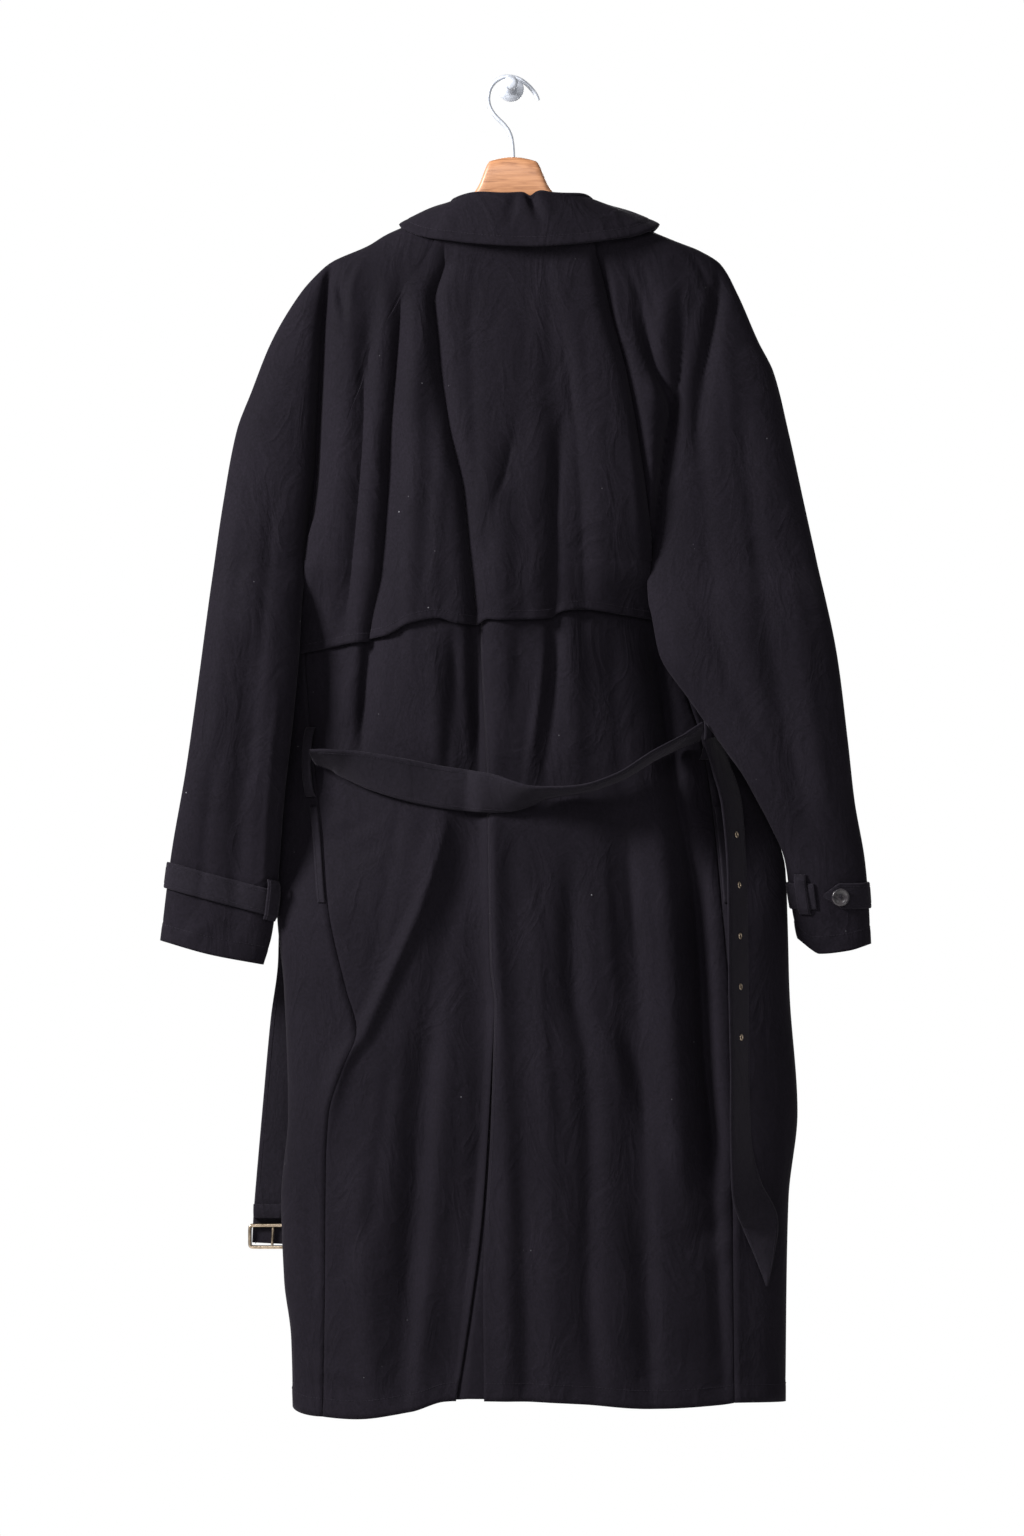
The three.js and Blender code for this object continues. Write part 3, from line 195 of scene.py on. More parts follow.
# Folds on the room side: path, width, depth, and the width on the path's right where it differs
ROOM_FOLDS = [
    ([[660, 474], [760, 478], [900, 481], [1001, 486], [1145, 479], [1302, 463], [1400, 452]], 34, -12, 7),
    ([[430, 404], [520, 402], [600, 399], [645, 398]], 30, -9, 9),
    ([[300, 372], [420, 364], [560, 352], [640, 344]], 20, -6, 9),
    ([[820, 626], [960, 634], [1120, 642], [1380, 650]], 22, -7, 9),
    ([[880, 700], [1000, 706], [1180, 712], [1380, 722]], 18, -7, 8),
    ([[1040, 430], [1200, 420], [1400, 404]], 22, -7, 9),
    ([[330, 560], [430, 574], [540, 580], [620, 582]], 34, -7, 10),
    ([[300, 401], [379, 396], [429, 391], [495, 387], [571, 382], [621, 372], [655, 369], [743, 361]], 9, -9),
    ([[320, 418], [430, 412], [571, 404], [640, 398]], 11, 5),
    ([[262, 446], [299, 434], [346, 438], [396, 444], [445, 452], [488, 464], [555, 470], [608, 475],
      [760, 480]], 9, -10),
    ([[470, 488], [561, 500], [640, 504], [760, 510]], 14, 4),
    ([[430, 518], [495, 499], [575, 482]], 12, -3),
    ([[256, 598], [306, 607], [366, 623], [439, 636], [495, 644], [545, 650]], 8, -8),
    ([[310, 640], [372, 657], [399, 671], [430, 672]], 8, -8),
    ([[290, 668], [380, 655], [480, 652]], 10, 4),
    ([[283, 720], [329, 712], [379, 703], [440, 698]], 9, -7),
    ([[262, 328], [284, 336], [312, 345]], 7, -4),
    ([[300, 352], [380, 350], [520, 342], [640, 330]], 12, 3),
    ([[420, 560], [520, 556], [640, 553], [710, 550]], 9, -5),
    ([[620, 570], [700, 575], [780, 574]], 12, 4),
    ([[640, 655], [716, 667], [793, 675], [870, 690], [960, 699], [1053, 704], [1168, 719]], 12, -9),
    ([[800, 655], [900, 664], [1060, 672], [1200, 682]], 14, 5),
    ([[826, 442], [908, 418], [958, 396], [1034, 362], [1068, 340], [1114, 327]], 10, 7),
    ([[850, 462], [960, 440], [1100, 420], [1300, 405]], 16, -5),
    ([[830, 492], [960, 494], [1001, 498], [1206, 506], [1400, 508]], 13, 6),
    ([[880, 571], [996, 574], [1053, 586], [1145, 590], [1283, 588], [1380, 594]], 11, -6),
    ([[1010, 612], [1072, 636], [1150, 657]], 11, -4),
    ([[900, 540], [1100, 548], [1400, 552]], 15, 4),
    ([[1180, 360], [1290, 366], [1400, 372]], 15, 4),
    ([[1220, 640], [1320, 648], [1400, 652]], 14, -4),
    ([[640, 250], [720, 246], [820, 240], [900, 236]], 11, -4),
    ([[430, 740], [560, 756], [700, 780], [820, 806]], 13, -4),
]
WALL_FOLDS = [
    ([[300, 420], [500, 400], [700, 380]], 14, -5),
    ([[320, 620], [520, 640], [720, 660]], 14, -5),
    ([[820, 380], [1000, 360], [1390, 350]], 18, 5),
    ([[820, 650], [1100, 670], [1390, 690]], 18, 5),
    ([[860, 430], [1100, 420], [1390, 410]], 16, -4),
]

# Fine creases, softer and narrower than the folds: path, width, depth
FINE_FOLDS = [
    ([[268, 328], [300, 325], [330, 322], [412, 318], [478, 315], [520, 309], [562, 306]], 4.0, -8.0),
    ([[290, 323], [412, 320], [478, 318], [540, 310]], 10.0, -5.0),
    ([[270, 332], [290, 340], [316, 345]], 3.0, -2.4),
    ([[318, 401], [400, 393], [450, 390], [520, 386], [600, 376], [640, 371]], 3.2, -3.2),
    ([[262, 444], [290, 438], [303, 431]], 3.0, -3.0),
    ([[300, 437], [346, 440], [396, 446], [430, 450], [455, 459], [520, 466], [580, 472],
      [612, 478]], 3.4, -3.6),
    ([[430, 514], [470, 506], [500, 493], [530, 486]], 5.0, -1.3),
    ([[440, 552], [500, 556], [600, 553]], 5.0, -1.4),
    ([[252, 594], [300, 606], [366, 623], [439, 636], [500, 645], [545, 650]], 3.6, -4.2),
    ([[250, 610], [262, 640], [268, 690]], 3.2, -1.4),
    ([[262, 626], [300, 641], [340, 652]], 4.0, -1.8),
    ([[330, 643], [372, 657], [396, 668], [412, 672], [470, 661], [540, 652]], 3.4, -4.6),
    ([[300, 682], [340, 680], [392, 676], [440, 664], [500, 658]], 4.0, -2.6),
    ([[286, 719], [329, 712], [379, 703]], 3.4, -2.6),
    ([[640, 368], [690, 364], [740, 362]], 3.6, -3.4),
    ([[640, 455], [700, 452], [770, 447]], 6.0, -2.6),
    ([[640, 547], [680, 543], [740, 532], [776, 526]], 4.0, 2.4),
    ([[640, 556], [680, 552], [740, 548], [780, 545]], 6.0, -2.6),
    ([[700, 662], [793, 676], [870, 691], [960, 700], [1053, 705], [1150, 716]], 4.0, -3.6),
    ([[830, 446], [908, 421], [958, 399], [1030, 366]], 4.0, 2.0),
    ([[850, 436], [908, 410], [958, 388], [1030, 354]], 5.0, -2.4),
    ([[246, 623], [250, 650], [255, 676]], 3.0, -1.2),
    ([[300, 470], [420, 474], [520, 480]], 7, -1.3),
    ([[280, 540], [400, 536], [600, 530]], 9, 1.4),
    ([[330, 585], [450, 588], [600, 592]], 8, -1.6),
    ([[300, 615], [420, 628], [540, 640]], 5, 2.0),
    ([[330, 366], [450, 362], [600, 350]], 6, -1.8),
    ([[360, 446], [470, 441], [600, 432]], 6, 1.6),
    ([[640, 318], [700, 326], [748, 334]], 5, -1.8),
    ([[640, 432], [700, 436], [760, 436]], 8, 2.0),
    ([[640, 452], [700, 458], [765, 462]], 6, -1.8),
    ([[640, 520], [700, 514], [770, 508]], 8, -1.6),
    ([[640, 543], [700, 538], [774, 533]], 5, 1.8),
    ([[640, 610], [700, 616], [780, 622]], 9, -1.5),
    ([[800, 400], [900, 385], [980, 372]], 8, -1.6),
    ([[860, 540], [980, 548], [1120, 560]], 8, -1.5),
    ([[860, 602], [980, 612], [1100, 622]], 8, 1.6),
    ([[860, 628], [1000, 645], [1140, 660]], 6, -1.4),
    ([[1060, 470], [1180, 466], [1370, 458]], 9, 1.5),
    ([[1150, 520], [1260, 524], [1390, 528]], 8, -1.2),
    ([[1150, 420], [1260, 410], [1380, 400]], 9, -1.6),
    ([[1180, 700], [1260, 706], [1380, 712]], 10, 1.6),
    ([[1240, 742], [1320, 748], [1390, 750]], 8, -1.5),
    ([[1190, 310], [1260, 312], [1330, 320]], 8, -1.5),
    ([[1060, 392], [1150, 380], [1240, 366]], 8, -1.6),
    ([[520, 232], [640, 222], [760, 212]], 8, 1.4),
    ([[500, 272], [640, 262], [780, 250]], 7, -2.0),
    ([[700, 276], [800, 268], [890, 262]], 5, 1.6),
    ([[760, 214], [830, 206], [900, 200]], 6, -1.4),
    ([[350, 726], [470, 738], [600, 752]], 8, 1.6),
    ([[420, 700], [520, 706], [620, 716]], 8, -1.6),
    ([[600, 700], [700, 740], [790, 790]], 10, -1.6),
    ([[560, 790], [680, 806], [800, 826]], 9, 1.5),
    ([[330, 362], [420, 372], [520, 382]], 4, 1.0),
    ([[270, 560], [330, 563], [420, 562]], 8, 1.2),
    ([[250, 690], [275, 705], [300, 716]], 4, -1.6),
    ([[262, 640], [300, 652], [350, 662]], 5, -1.5),
    ([[256, 362], [290, 350], [330, 345]], 5, 1.5),
]
FINE_TAPER = 30
# Slanting dents: across, down, half length, half width, slope in degrees, depth
DENTS = [
    (345, 812, 20, 6, 25, -2.0), (355, 828, 18, 6, 160, -2.2), (336, 842, 14, 5, 30, -1.8),
    (372, 846, 22, 6, 150, -1.5), (320, 1352, 30, 7, 22, -2.2), (335, 1372, 32, 7, 12, 2.0),
    (352, 1388, 24, 6, 8, -1.6), (712, 1226, 26, 10, 150, -2.4), (722, 1250, 24, 8, 140, 2.0),
    (650, 1376, 18, 5, 170, -1.2), (740, 1380, 26, 6, 165, -1.6), (700, 1372, 20, 5, 20, 1.3),
    (360, 1236, 40, 12, 120, -1.8), (620, 796, 34, 8, 160, -2.0), (470, 812, 18, 5, 10, -1.2),
    (520, 812, 26, 6, 172, -1.4), (610, 1342, 26, 7, 60, 1.3), (420, 1330, 40, 12, 100, 1.4),
    (560, 300, 60, 16, 95, 1.0), (540, 520, 40, 12, 110, -1.2), (235, 930, 14, 5, 30, -1.6),
    (200, 930, 14, 6, 150, 1.5), (835, 925, 20, 6, 20, -2.2), (824, 938, 12, 5, 150, 1.6),
    (806, 886, 10, 4, 80, -1.2), (740, 640, 50, 14, 70, 1.2), (790, 760, 40, 10, 60, -1.4),
    (246, 600, 50, 12, 98, 1.2),
]


def read_folds(folds):
    read = []
    for path, width, depth, *right in folds:
        read.append((smooth(path), path[0][0], path[-1][0], width, right[0] if right else width, depth))
    return read


ROOM = read_folds(ROOM_FOLDS)
BEHIND = read_folds(WALL_FOLDS)
FINE = read_folds(FINE_FOLDS)


def fold_offset(folds, across, down, taper=FOLD_TAPER):
    total = np.zeros(np.broadcast(across, down).shape)
    for path, top, bottom, width, right_width, depth in folds:
        fade = step(down, top - taper, top + taper) * (1 - step(down, bottom - taper, bottom + taper))
        away = across - path(np.clip(down, top, bottom))
        away = away / np.where(away > 0, right_width, width)
        total += depth * fade * np.exp(-away * away)
    return total


def dent_offset(across, down):
    total = np.zeros(np.broadcast(across, down).shape)
    for place_across, place_down, long, wide, slope, depth in DENTS:
        angle = math.radians(slope)
        along = (across - place_across) * math.cos(angle) + (down - place_down) * math.sin(angle)
        aside = -(across - place_across) * math.sin(angle) + (down - place_down) * math.cos(angle)
        total += depth * np.exp(-(along / long) ** 2 - (aside / wide) ** 2)
    return total


# Each slow wave: its turns across and down, its phase and its size
WAVES = [
    (rng.uniform(0.02, 0.09), rng.uniform(-0.012, 0.012), rng.uniform(0, 6.28), rng.uniform(0.25, 0.6))
    for _ in range(9)
]


def ripple(across, down, seed=0.0):
    # Slow uneven waves that run mostly downward
    total = np.zeros(np.broadcast(across, down).shape)
    for number, (wide, slant, phase, size) in enumerate(WAVES):
        drift = 14 * np.sin(down / (90 + 13 * number) + phase)
        total += size * 0.5 * np.sin(wide * (across + drift) + slant * down + phase + seed)
    return total


def bulge(across, left, right, power):
    half = (right - left) / 2
    off = np.clip((across - left - half) / half, -1, 1)
    return np.power(1 - off * off, power / 2)


# Roundness of each tube's section, and how far in from its edge the sleeve presses the body
BODY_POWER = 0.7
SLEEVE_POWER = 0.8
SHOULDER_POWER = 0.75
CLEARED_WIDTH = 75
PRESSED_SHARE = 0.75
# Depths of the tubes at which folds and slow waves reach their full size
FULL_FOLD_DEPTH = 14
FULL_WAVE_DEPTH = 20
# Level at which the shoulder begins to part into three tubes, and where the hollow between them closes
PARTING_DOWN = 240
CLOSING_DOWN = 520


def body_middle(across, down):
    above = down < UNDERARM_DOWN
    left = np.where(above, valley_left(down), body_left(down))
    right = np.where(above, valley_right(down), body_right(down))
    half = (right - left) / 2
    off = np.clip((across - left - half) / half, -1, 1)
    edge = np.where(off > 0, edge_middle_right(down), edge_middle_left(down))
    return MIDDLE_Y + (edge - MIDDLE_Y) * np.abs(off) ** 3


def middle(lobe, across, down):
    left = sleeve_middle_left(down)
    right = sleeve_middle_right(down)
    body = body_middle(across, down)
    below = {"left": left, "right": right, "body": body}[lobe]
    upper = np.where(across > valley_right(down), right, body)
    upper = np.where(across < valley_left(down), left, upper)
    return np.where(down < UNDERARM_DOWN, upper, below)


def pressed_share(away, down, room):
    # The sleeves press the body's edges flat below the armholes
    pressed = step(down, 470, 680) * (1 - step(down, 840, 930))
    return np.where(room, 1 - PRESSED_SHARE * pressed * np.exp(-away * away), 1)


def depth_at(lobe, across, down, room):
    body = np.where(room, body_room(down), body_wall(down))
    if lobe == "left":
        below = sleeve_depth(down) * bulge(across, outer_left(down), inner_left(down), SLEEVE_POWER)
    elif lobe == "right":
        below = sleeve_depth(down) * bulge(across, inner_right(down), outer_right(down), SLEEVE_POWER)
    else:
        left, right = body_left(down), body_right(down)
        away = np.minimum(right - across, across - left) / CLEARED_WIDTH
        below = body * pressed_share(away, down, room) * bulge(across, left, right, BODY_POWER)
    edge_left, edge_right = outer_left(down), outer_right(down)
    shoulder = np.where(room, shoulder_room(down), shoulder_wall(down))
    shoulder = shoulder * bulge(across, edge_left, edge_right, SHOULDER_POWER)
    hollow_left, hollow_right = valley_left(down), valley_right(down)
    away = np.minimum(hollow_right - across, across - hollow_left) / CLEARED_WIDTH
    lobes = body * pressed_share(away, down, room) * bulge(across, hollow_left, hollow_right, BODY_POWER)
    left_sleeve = sleeve_depth(down) * bulge(across, edge_left, hollow_left, SLEEVE_POWER)
    right_sleeve = sleeve_depth(down) * bulge(across, hollow_right, edge_right, SLEEVE_POWER)
    lobes = np.where(across < hollow_left, left_sleeve, np.where(across > hollow_right, right_sleeve, lobes))
    blend = step(down, PARTING_DOWN, UNDERARM_DOWN)
    edge = np.minimum(across - edge_left, edge_right - across)
    opened = OPEN_DEPTH * blend * (1 - step(down, CLOSING_DOWN, UNDERARM_DOWN)) * step(edge, 0, 20)
    above = np.hypot(mix(shoulder, lobes, blend), opened)
    return np.where(down < UNDERARM_DOWN, above, below)


def edges_of(lobe, down):
    above = down < UNDERARM_DOWN
    if lobe == "left":
        return outer_left(down), np.where(above, raglan_left(down), inner_left(down))
    if lobe == "right":
        return outer_right(down), np.where(above, raglan_right(down), inner_right(down))
    left = np.where(above, raglan_left(down), body_left(down))
    right = np.where(above, raglan_right(down), body_right(down))
    return left, right


def skin(lobe, turn, down, wall_side=None):
    # Points on the outside of one tube: turn 0 to 1 on the room side, past either end on the wall side
    turn, down = np.broadcast_arrays(np.asarray(turn, float), np.asarray(down, float))
    room = (turn >= 0) & (turn <= 1)
    if wall_side is not None:
        room = room & ~wall_side
    part = np.where(turn < 0, -turn, np.where(turn > 1, 2 - turn, turn))
    first, second = edges_of(lobe, down)
    across = mix(first, second, (1 - np.cos(np.pi * part)) / 2)
    depth = depth_at(lobe, across, down, room)
    hold = np.clip(depth / FULL_FOLD_DEPTH, 0, 1)
    slack = np.clip(depth / FULL_WAVE_DEPTH, 0, 1)
    fine = fold_offset(FINE, across, down, FINE_TAPER) + dent_offset(across, down)
    toward_room = hold * (fold_offset(ROOM, across, down) + fine) + ripple(across, down, 0.0) * slack
    toward_wall = hold * fold_offset(BEHIND, across, down) + ripple(across, down, 2.0) * slack
    y = middle(lobe, across, down) + np.where(room, -depth - toward_room, depth + toward_wall)
    return np.stack([across, y, down], axis=-1)


def turn_at(lobe, across, down):
    first, second = edges_of(lobe, down)
    return np.arccos(np.clip(1 - 2 * (across - first) / (second - first), -1, 1)) / np.pi


def metres(points):
    out = np.empty(points.shape)
    out[..., 0] = (points[..., 0] - HOOK_ACROSS) * MM
    out[..., 1] = points[..., 1] * MM
    out[..., 2] = (HOOK_DOWN - points[..., 2]) * MM
    return out


def normals_of(points, flip=False):
    # Outward normals of a grid of board points [row, column]
    space = metres(points)
    along_row = np.gradient(space, axis=1)
    along_column = np.gradient(space, axis=0)
    normal = np.cross(along_column, along_row)
    length = np.linalg.norm(normal, axis=-1, keepdims=True)
    normal = normal / np.where(length < 1e-15, 1, length)
    return -normal if flip else normal


def lengths_along(space, axis):
    step_length = np.linalg.norm(np.diff(space, axis=axis), axis=-1)
    zero = np.zeros_like(np.take(step_length, [0], axis=axis))
    return np.concatenate([zero, np.cumsum(step_length, axis=axis)], axis=axis)


def mesh_object(name, vertices, faces, material, uv=None, smooth_faces=True):
    mesh = bpy.data.meshes.new(name)
    mesh.from_pydata([tuple(v) for v in vertices], [], faces)
    if uv is not None:
        layer = mesh.uv_layers.new(name="Cloth")
        index = np.empty(len(mesh.loops), dtype=np.int32)
        mesh.loops.foreach_get("vertex_index", index)
        layer.data.foreach_set("uv", np.asarray(uv)[index].astype(np.float32).ravel())
    mesh.polygons.foreach_set("use_smooth", [smooth_faces] * len(mesh.polygons))
    mesh.materials.append(material)
    mesh.update()
    obj = bpy.data.objects.new(name, mesh)
    bpy.context.scene.collection.objects.link(obj)
    return obj


# Outside points and normals of each cloth piece, for the stitches on it
GRIDS = {}


def shell(name, points, material, lift=0.0, thick=CLOTH, flip=False):
    # A sheet of cloth with rounded edges over a grid of board points
    rows, columns = points.shape[:2]
    normal = normals_of(points, flip)
    lift = np.asarray(lift, float)
    if lift.ndim == 2:
        lift = lift[..., None]
    outside = metres(points) + normal * lift * MM
    inside = outside - normal * thick * MM
    across = lengths_along(outside, 1)
    downward = lengths_along(outside, 0)
    uv = np.stack([across, -downward], axis=-1).reshape(-1, 2)
    vertices = np.concatenate([outside.reshape(-1, 3), inside.reshape(-1, 3)])
    index = np.arange(rows * columns).reshape(rows, columns)
    count = rows * columns
    a = index[:-1, :-1].ravel()
    b = index[1:, :-1].ravel()
    c = index[1:, 1:].ravel()
    d = index[:-1, 1:].ravel()
    outer = np.stack([a, b, c, d], axis=1)
    inner = np.stack([a, d, c, b], axis=1) + count
    rim = np.concatenate([index[0, :], index[1:, -1], index[-1, -2::-1], index[-2:0:-1, 0]])
    following = np.roll(rim, -1)
    edge = np.stack([rim, following, following + count, rim + count], axis=1)
    faces = np.concatenate([outer, inner, edge])
    if flip:
        faces = faces[:, ::-1]
    GRIDS[name] = (outside, normal)
    piece = mesh_object(name, vertices, faces.tolist(), material, np.concatenate([uv, uv]))
    declare_sheet(float(across[:, -1].max()), float(downward[-1].max()))
    return piece


# The narrowest size that a sheet is given, in metres; declare_sheet widens a sheet's sizes to it and keeps
# nothing
NARROWEST = 0.0101


def declare_sheet(width, length):
    width, length = max(width, NARROWEST), max(length, NARROWEST)


def settle(piece, node):
    nodes = node if isinstance(node, (list, tuple)) else [node]
    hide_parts(*nodes)
    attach(piece, "root")
    return piece


# Materials
def new_material(name):
    material = bpy.data.materials.new(name)
    material.use_nodes = True
    tree = material.node_tree
    shader = tree.nodes["Principled BSDF"]
    return material, tree, shader


def node(tree, kind, **values):
    made = tree.nodes.new(kind)
    for key, value in values.items():
        if key in made.inputs:
            made.inputs[key].default_value = value
        else:
            setattr(made, key, value)
    return made


def mixed(tree, first, second, blend="MIX", factor=None):
    # A colour mix of two sockets, or of a socket and a fixed colour
    made = tree.nodes.new("ShaderNodeMix")
    made.data_type = "RGBA"
    made.blend_type = blend
    sockets = {socket.identifier: socket for socket in made.inputs}
    sockets["Factor_Float"].default_value = 1.0
    if factor is not None:
        tree.links.new(factor, sockets["Factor_Float"])
    tree.links.new(first, sockets["A_Color"])
    if isinstance(second, tuple):
        sockets["B_Color"].default_value = (*second, 1)
    else:
        tree.links.new(second, sockets["B_Color"])
    return next(socket for socket in made.outputs if socket.identifier == "Result_Color")


def ramp(tree, source, stops):
    made = tree.nodes.new("ShaderNodeValToRGB")
    elements = made.color_ramp.elements
    while len(elements) < len(stops):
        elements.new(0.5)
    for element, (position, colour) in zip(elements, stops):
        element.position = position
        element.color = (*colour, 1)
    tree.links.new(source, made.inputs["Fac"])
    return made


def cloth_material(name, colour, pale, sheen=0.03, weave_scale=440.0, lint=True, crumpled=0.36):
    material, tree, shader = new_material(name)
    link = tree.links.new
    coordinates = node(tree, "ShaderNodeTexCoord")
    patches = node(tree, "ShaderNodeTexNoise", Scale=9.0, Detail=4.0, Roughness=0.55)
    link(coordinates.outputs["Object"], patches.inputs["Vector"])
    tone = ramp(tree, patches.outputs["Fac"], [(0.32, colour), (0.68, pale)])
    threads = node(tree, "ShaderNodeTexNoise", Scale=420.0, Detail=2.0, Roughness=0.6)
    link(coordinates.outputs["Object"], threads.inputs["Vector"])
    flecks = ramp(tree, threads.outputs["Fac"], [(0.25, (0.72, 0.72, 0.72)), (0.78, (1.28, 1.26, 1.3))])
    base = mixed(tree, tone.outputs["Color"], flecks.outputs["Color"], "MULTIPLY")
    if lint:
        specks = node(tree, "ShaderNodeTexVoronoi", Scale=62.0, Randomness=1.0)
        link(coordinates.outputs["Object"], specks.inputs["Vector"])
        dots = ramp(tree, specks.outputs["Distance"], [(0.028, (1, 1, 1)), (0.05, (0, 0, 0))])
        rare = node(tree, "ShaderNodeTexNoise", Scale=23.0, Detail=1.0)
        link(coordinates.outputs["Object"], rare.inputs["Vector"])
        some = ramp(tree, rare.outputs["Fac"], [(0.61, (0, 0, 0)), (0.66, (1, 1, 1))])
        both = mixed(tree, dots.outputs["Color"], some.outputs["Color"], "MULTIPLY")
        base = mixed(tree, base, (0.09, 0.088, 0.095), "MIX", both)
    link(base, shader.inputs["Base Color"])
    bands = {"wave_type": "BANDS", "Scale": weave_scale, "Distortion": 0.6, "Detail": 1.0}
    warp = node(tree, "ShaderNodeTexWave", **bands, bands_direction="X")
    weft = node(tree, "ShaderNodeTexWave", **bands, bands_direction="Y")
    link(coordinates.outputs["UV"], warp.inputs["Vector"])
    link(coordinates.outputs["UV"], weft.inputs["Vector"])
    weave = node(tree, "ShaderNodeMath", operation="MAXIMUM")
    link(warp.outputs["Fac"], weave.inputs[0])
    link(weft.outputs["Fac"], weave.inputs[1])
    fine = node(tree, "ShaderNodeBump", Strength=0.35, Distance=0.00012)
    link(weave.outputs["Value"], fine.inputs["Height"])
    slub = node(tree, "ShaderNodeTexNoise", Scale=130.0, Detail=5.0, Roughness=0.7)
    link(coordinates.outputs["Object"], slub.inputs["Vector"])
    rough = node(tree, "ShaderNodeBump", Strength=0.3, Distance=0.0006)
    link(slub.outputs["Fac"], rough.inputs["Height"])
    link(fine.outputs["Normal"], rough.inputs["Normal"])
    crush = node(tree, "ShaderNodeMapping")
    crush.inputs["Scale"].default_value = (1.0, 1.0, 0.55)
    link(coordinates.outputs["Object"], crush.inputs["Vector"])
    crease = node(tree, "ShaderNodeTexNoise", Scale=26.0, Detail=3.0, Roughness=0.5, Distortion=1.1)
    link(crush.outputs["Vector"], crease.inputs["Vector"])
    ridge = ramp(tree, crease.outputs["Fac"], [(0.36, (0, 0, 0)), (0.5, (1, 1, 1)), (0.64, (0.1, 0.1, 0.1))])
    crumple = node(tree, "ShaderNodeBump", Strength=crumpled, Distance=0.0016)
    link(ridge.outputs["Color"], crumple.inputs["Height"])
    link(rough.outputs["Normal"], crumple.inputs["Normal"])
    link(crumple.outputs["Normal"], shader.inputs["Normal"])
    dull = node(tree, "ShaderNodeMapRange")
    dull.inputs["To Min"].default_value = 0.72
    dull.inputs["To Max"].default_value = 0.92
    link(patches.outputs["Fac"], dull.inputs["Value"])
    link(dull.outputs["Result"], shader.inputs["Roughness"])
    shader.inputs["Sheen Weight"].default_value = sheen
    shader.inputs["Sheen Roughness"].default_value = 0.45
    shader.inputs["Sheen Tint"].default_value = (0.55, 0.5, 0.58, 1)
    shader.inputs["Specular IOR Level"].default_value = 0.04
    return material


def metal_material(name, colour, roughness, worn, metallic=1.0):
    material, tree, shader = new_material(name)
    link = tree.links.new
    coordinates = node(tree, "ShaderNodeTexCoord")
    marks = node(tree, "ShaderNodeTexNoise", Scale=260.0, Detail=4.0, Roughness=0.65)
    link(coordinates.outputs["Object"], marks.inputs["Vector"])
    tone = ramp(tree, marks.outputs["Fac"], [(0.35, worn), (0.62, colour)])
    link(tone.outputs["Color"], shader.inputs["Base Color"])
    spread = node(tree, "ShaderNodeMapRange")
    spread.inputs["To Min"].default_value = roughness * 0.7
    spread.inputs["To Max"].default_value = roughness * 1.4
    link(marks.outputs["Fac"], spread.inputs["Value"])
    link(spread.outputs["Result"], shader.inputs["Roughness"])
    dents = node(tree, "ShaderNodeBump", Strength=0.12, Distance=0.0002)
    link(marks.outputs["Fac"], dents.inputs["Height"])
    link(dents.outputs["Normal"], shader.inputs["Normal"])
    shader.inputs["Metallic"].default_value = metallic
    return material


def wood_material():
    material, tree, shader = new_material("wood")
    link = tree.links.new
    coordinates = node(tree, "ShaderNodeTexCoord")
    stretch = node(tree, "ShaderNodeMapping")
    stretch.inputs["Scale"].default_value = (3.0, 40.0, 40.0)
    link(coordinates.outputs["Object"], stretch.inputs["Vector"])
    grain = node(tree, "ShaderNodeTexNoise", Scale=9.0, Detail=6.0, Roughness=0.6, Distortion=0.8)
    link(stretch.outputs["Vector"], grain.inputs["Vector"])
    browns = [(0.3, (0.15, 0.056, 0.02)), (0.5, (0.25, 0.108, 0.045)), (0.72, (0.32, 0.15, 0.068))]
    tone = ramp(tree, grain.outputs["Fac"], browns)
    link(tone.outputs["Color"], shader.inputs["Base Color"])
    shader.inputs["Roughness"].default_value = 0.5
    shader.inputs["Coat Weight"].default_value = 0.1
    shader.inputs["Coat Roughness"].default_value = 0.2
    pores = node(tree, "ShaderNodeBump", Strength=0.15, Distance=0.0004)
    link(grain.outputs["Fac"], pores.inputs["Height"])
    link(pores.outputs["Normal"], shader.inputs["Normal"])
    return material


def gloss_material():
    material, tree, shader = new_material("button_gloss")
    link = tree.links.new
    coordinates = node(tree, "ShaderNodeTexCoord")
    swirl = node(tree, "ShaderNodeTexNoise", Scale=90.0, Detail=3.0, Distortion=1.5)
    link(coordinates.outputs["Object"], swirl.inputs["Vector"])
    tone = ramp(tree, swirl.outputs["Fac"], [(0.35, (0.008, 0.007, 0.009)), (0.7, (0.03, 0.026, 0.028))])
    link(tone.outputs["Color"], shader.inputs["Base Color"])
    shader.inputs["Roughness"].default_value = 0.22
    shader.inputs["Specular IOR Level"].default_value = 0.3
    return material


CLOTH_MATERIAL = cloth_material("black_cotton", (0.0034, 0.0027, 0.0043), (0.0050, 0.0041, 0.0061))
BELT_MATERIAL = cloth_material(
    "belt_cotton", (0.0048, 0.0040, 0.0059), (0.0068, 0.0058, 0.0081), sheen=0.05, lint=False, crumpled=0.2,
)
THREAD_MATERIAL = cloth_material(
    "thread", (0.0075, 0.0064, 0.009), (0.012, 0.0104, 0.0139), sheen=0.05, weave_scale=900.0, lint=False,
    crumpled=0.0,
)
PALE_METAL = metal_material("pale_metal", (0.34, 0.27, 0.2), 0.32, (0.18, 0.14, 0.1))
STEEL = metal_material("steel", (0.44, 0.46, 0.51), 0.45, (0.32, 0.34, 0.38), metallic=0.5)
WOOD = wood_material()
GLOSS = gloss_material()


# Panels
ROW_POWER = 1.25
# Height of the stitched lines above each lower edge
HEM_DEPTH = 18
CUFF_DEPTH = 17
FLAP_DEPTH = 8.5
# Levels at which each piece's width is read to place its lower edge
BODY_LOW = 1390.0
FLAP_LOW = 630.0
SLEEVE_LOW = 944.0
STRAP_LOW = 895.0


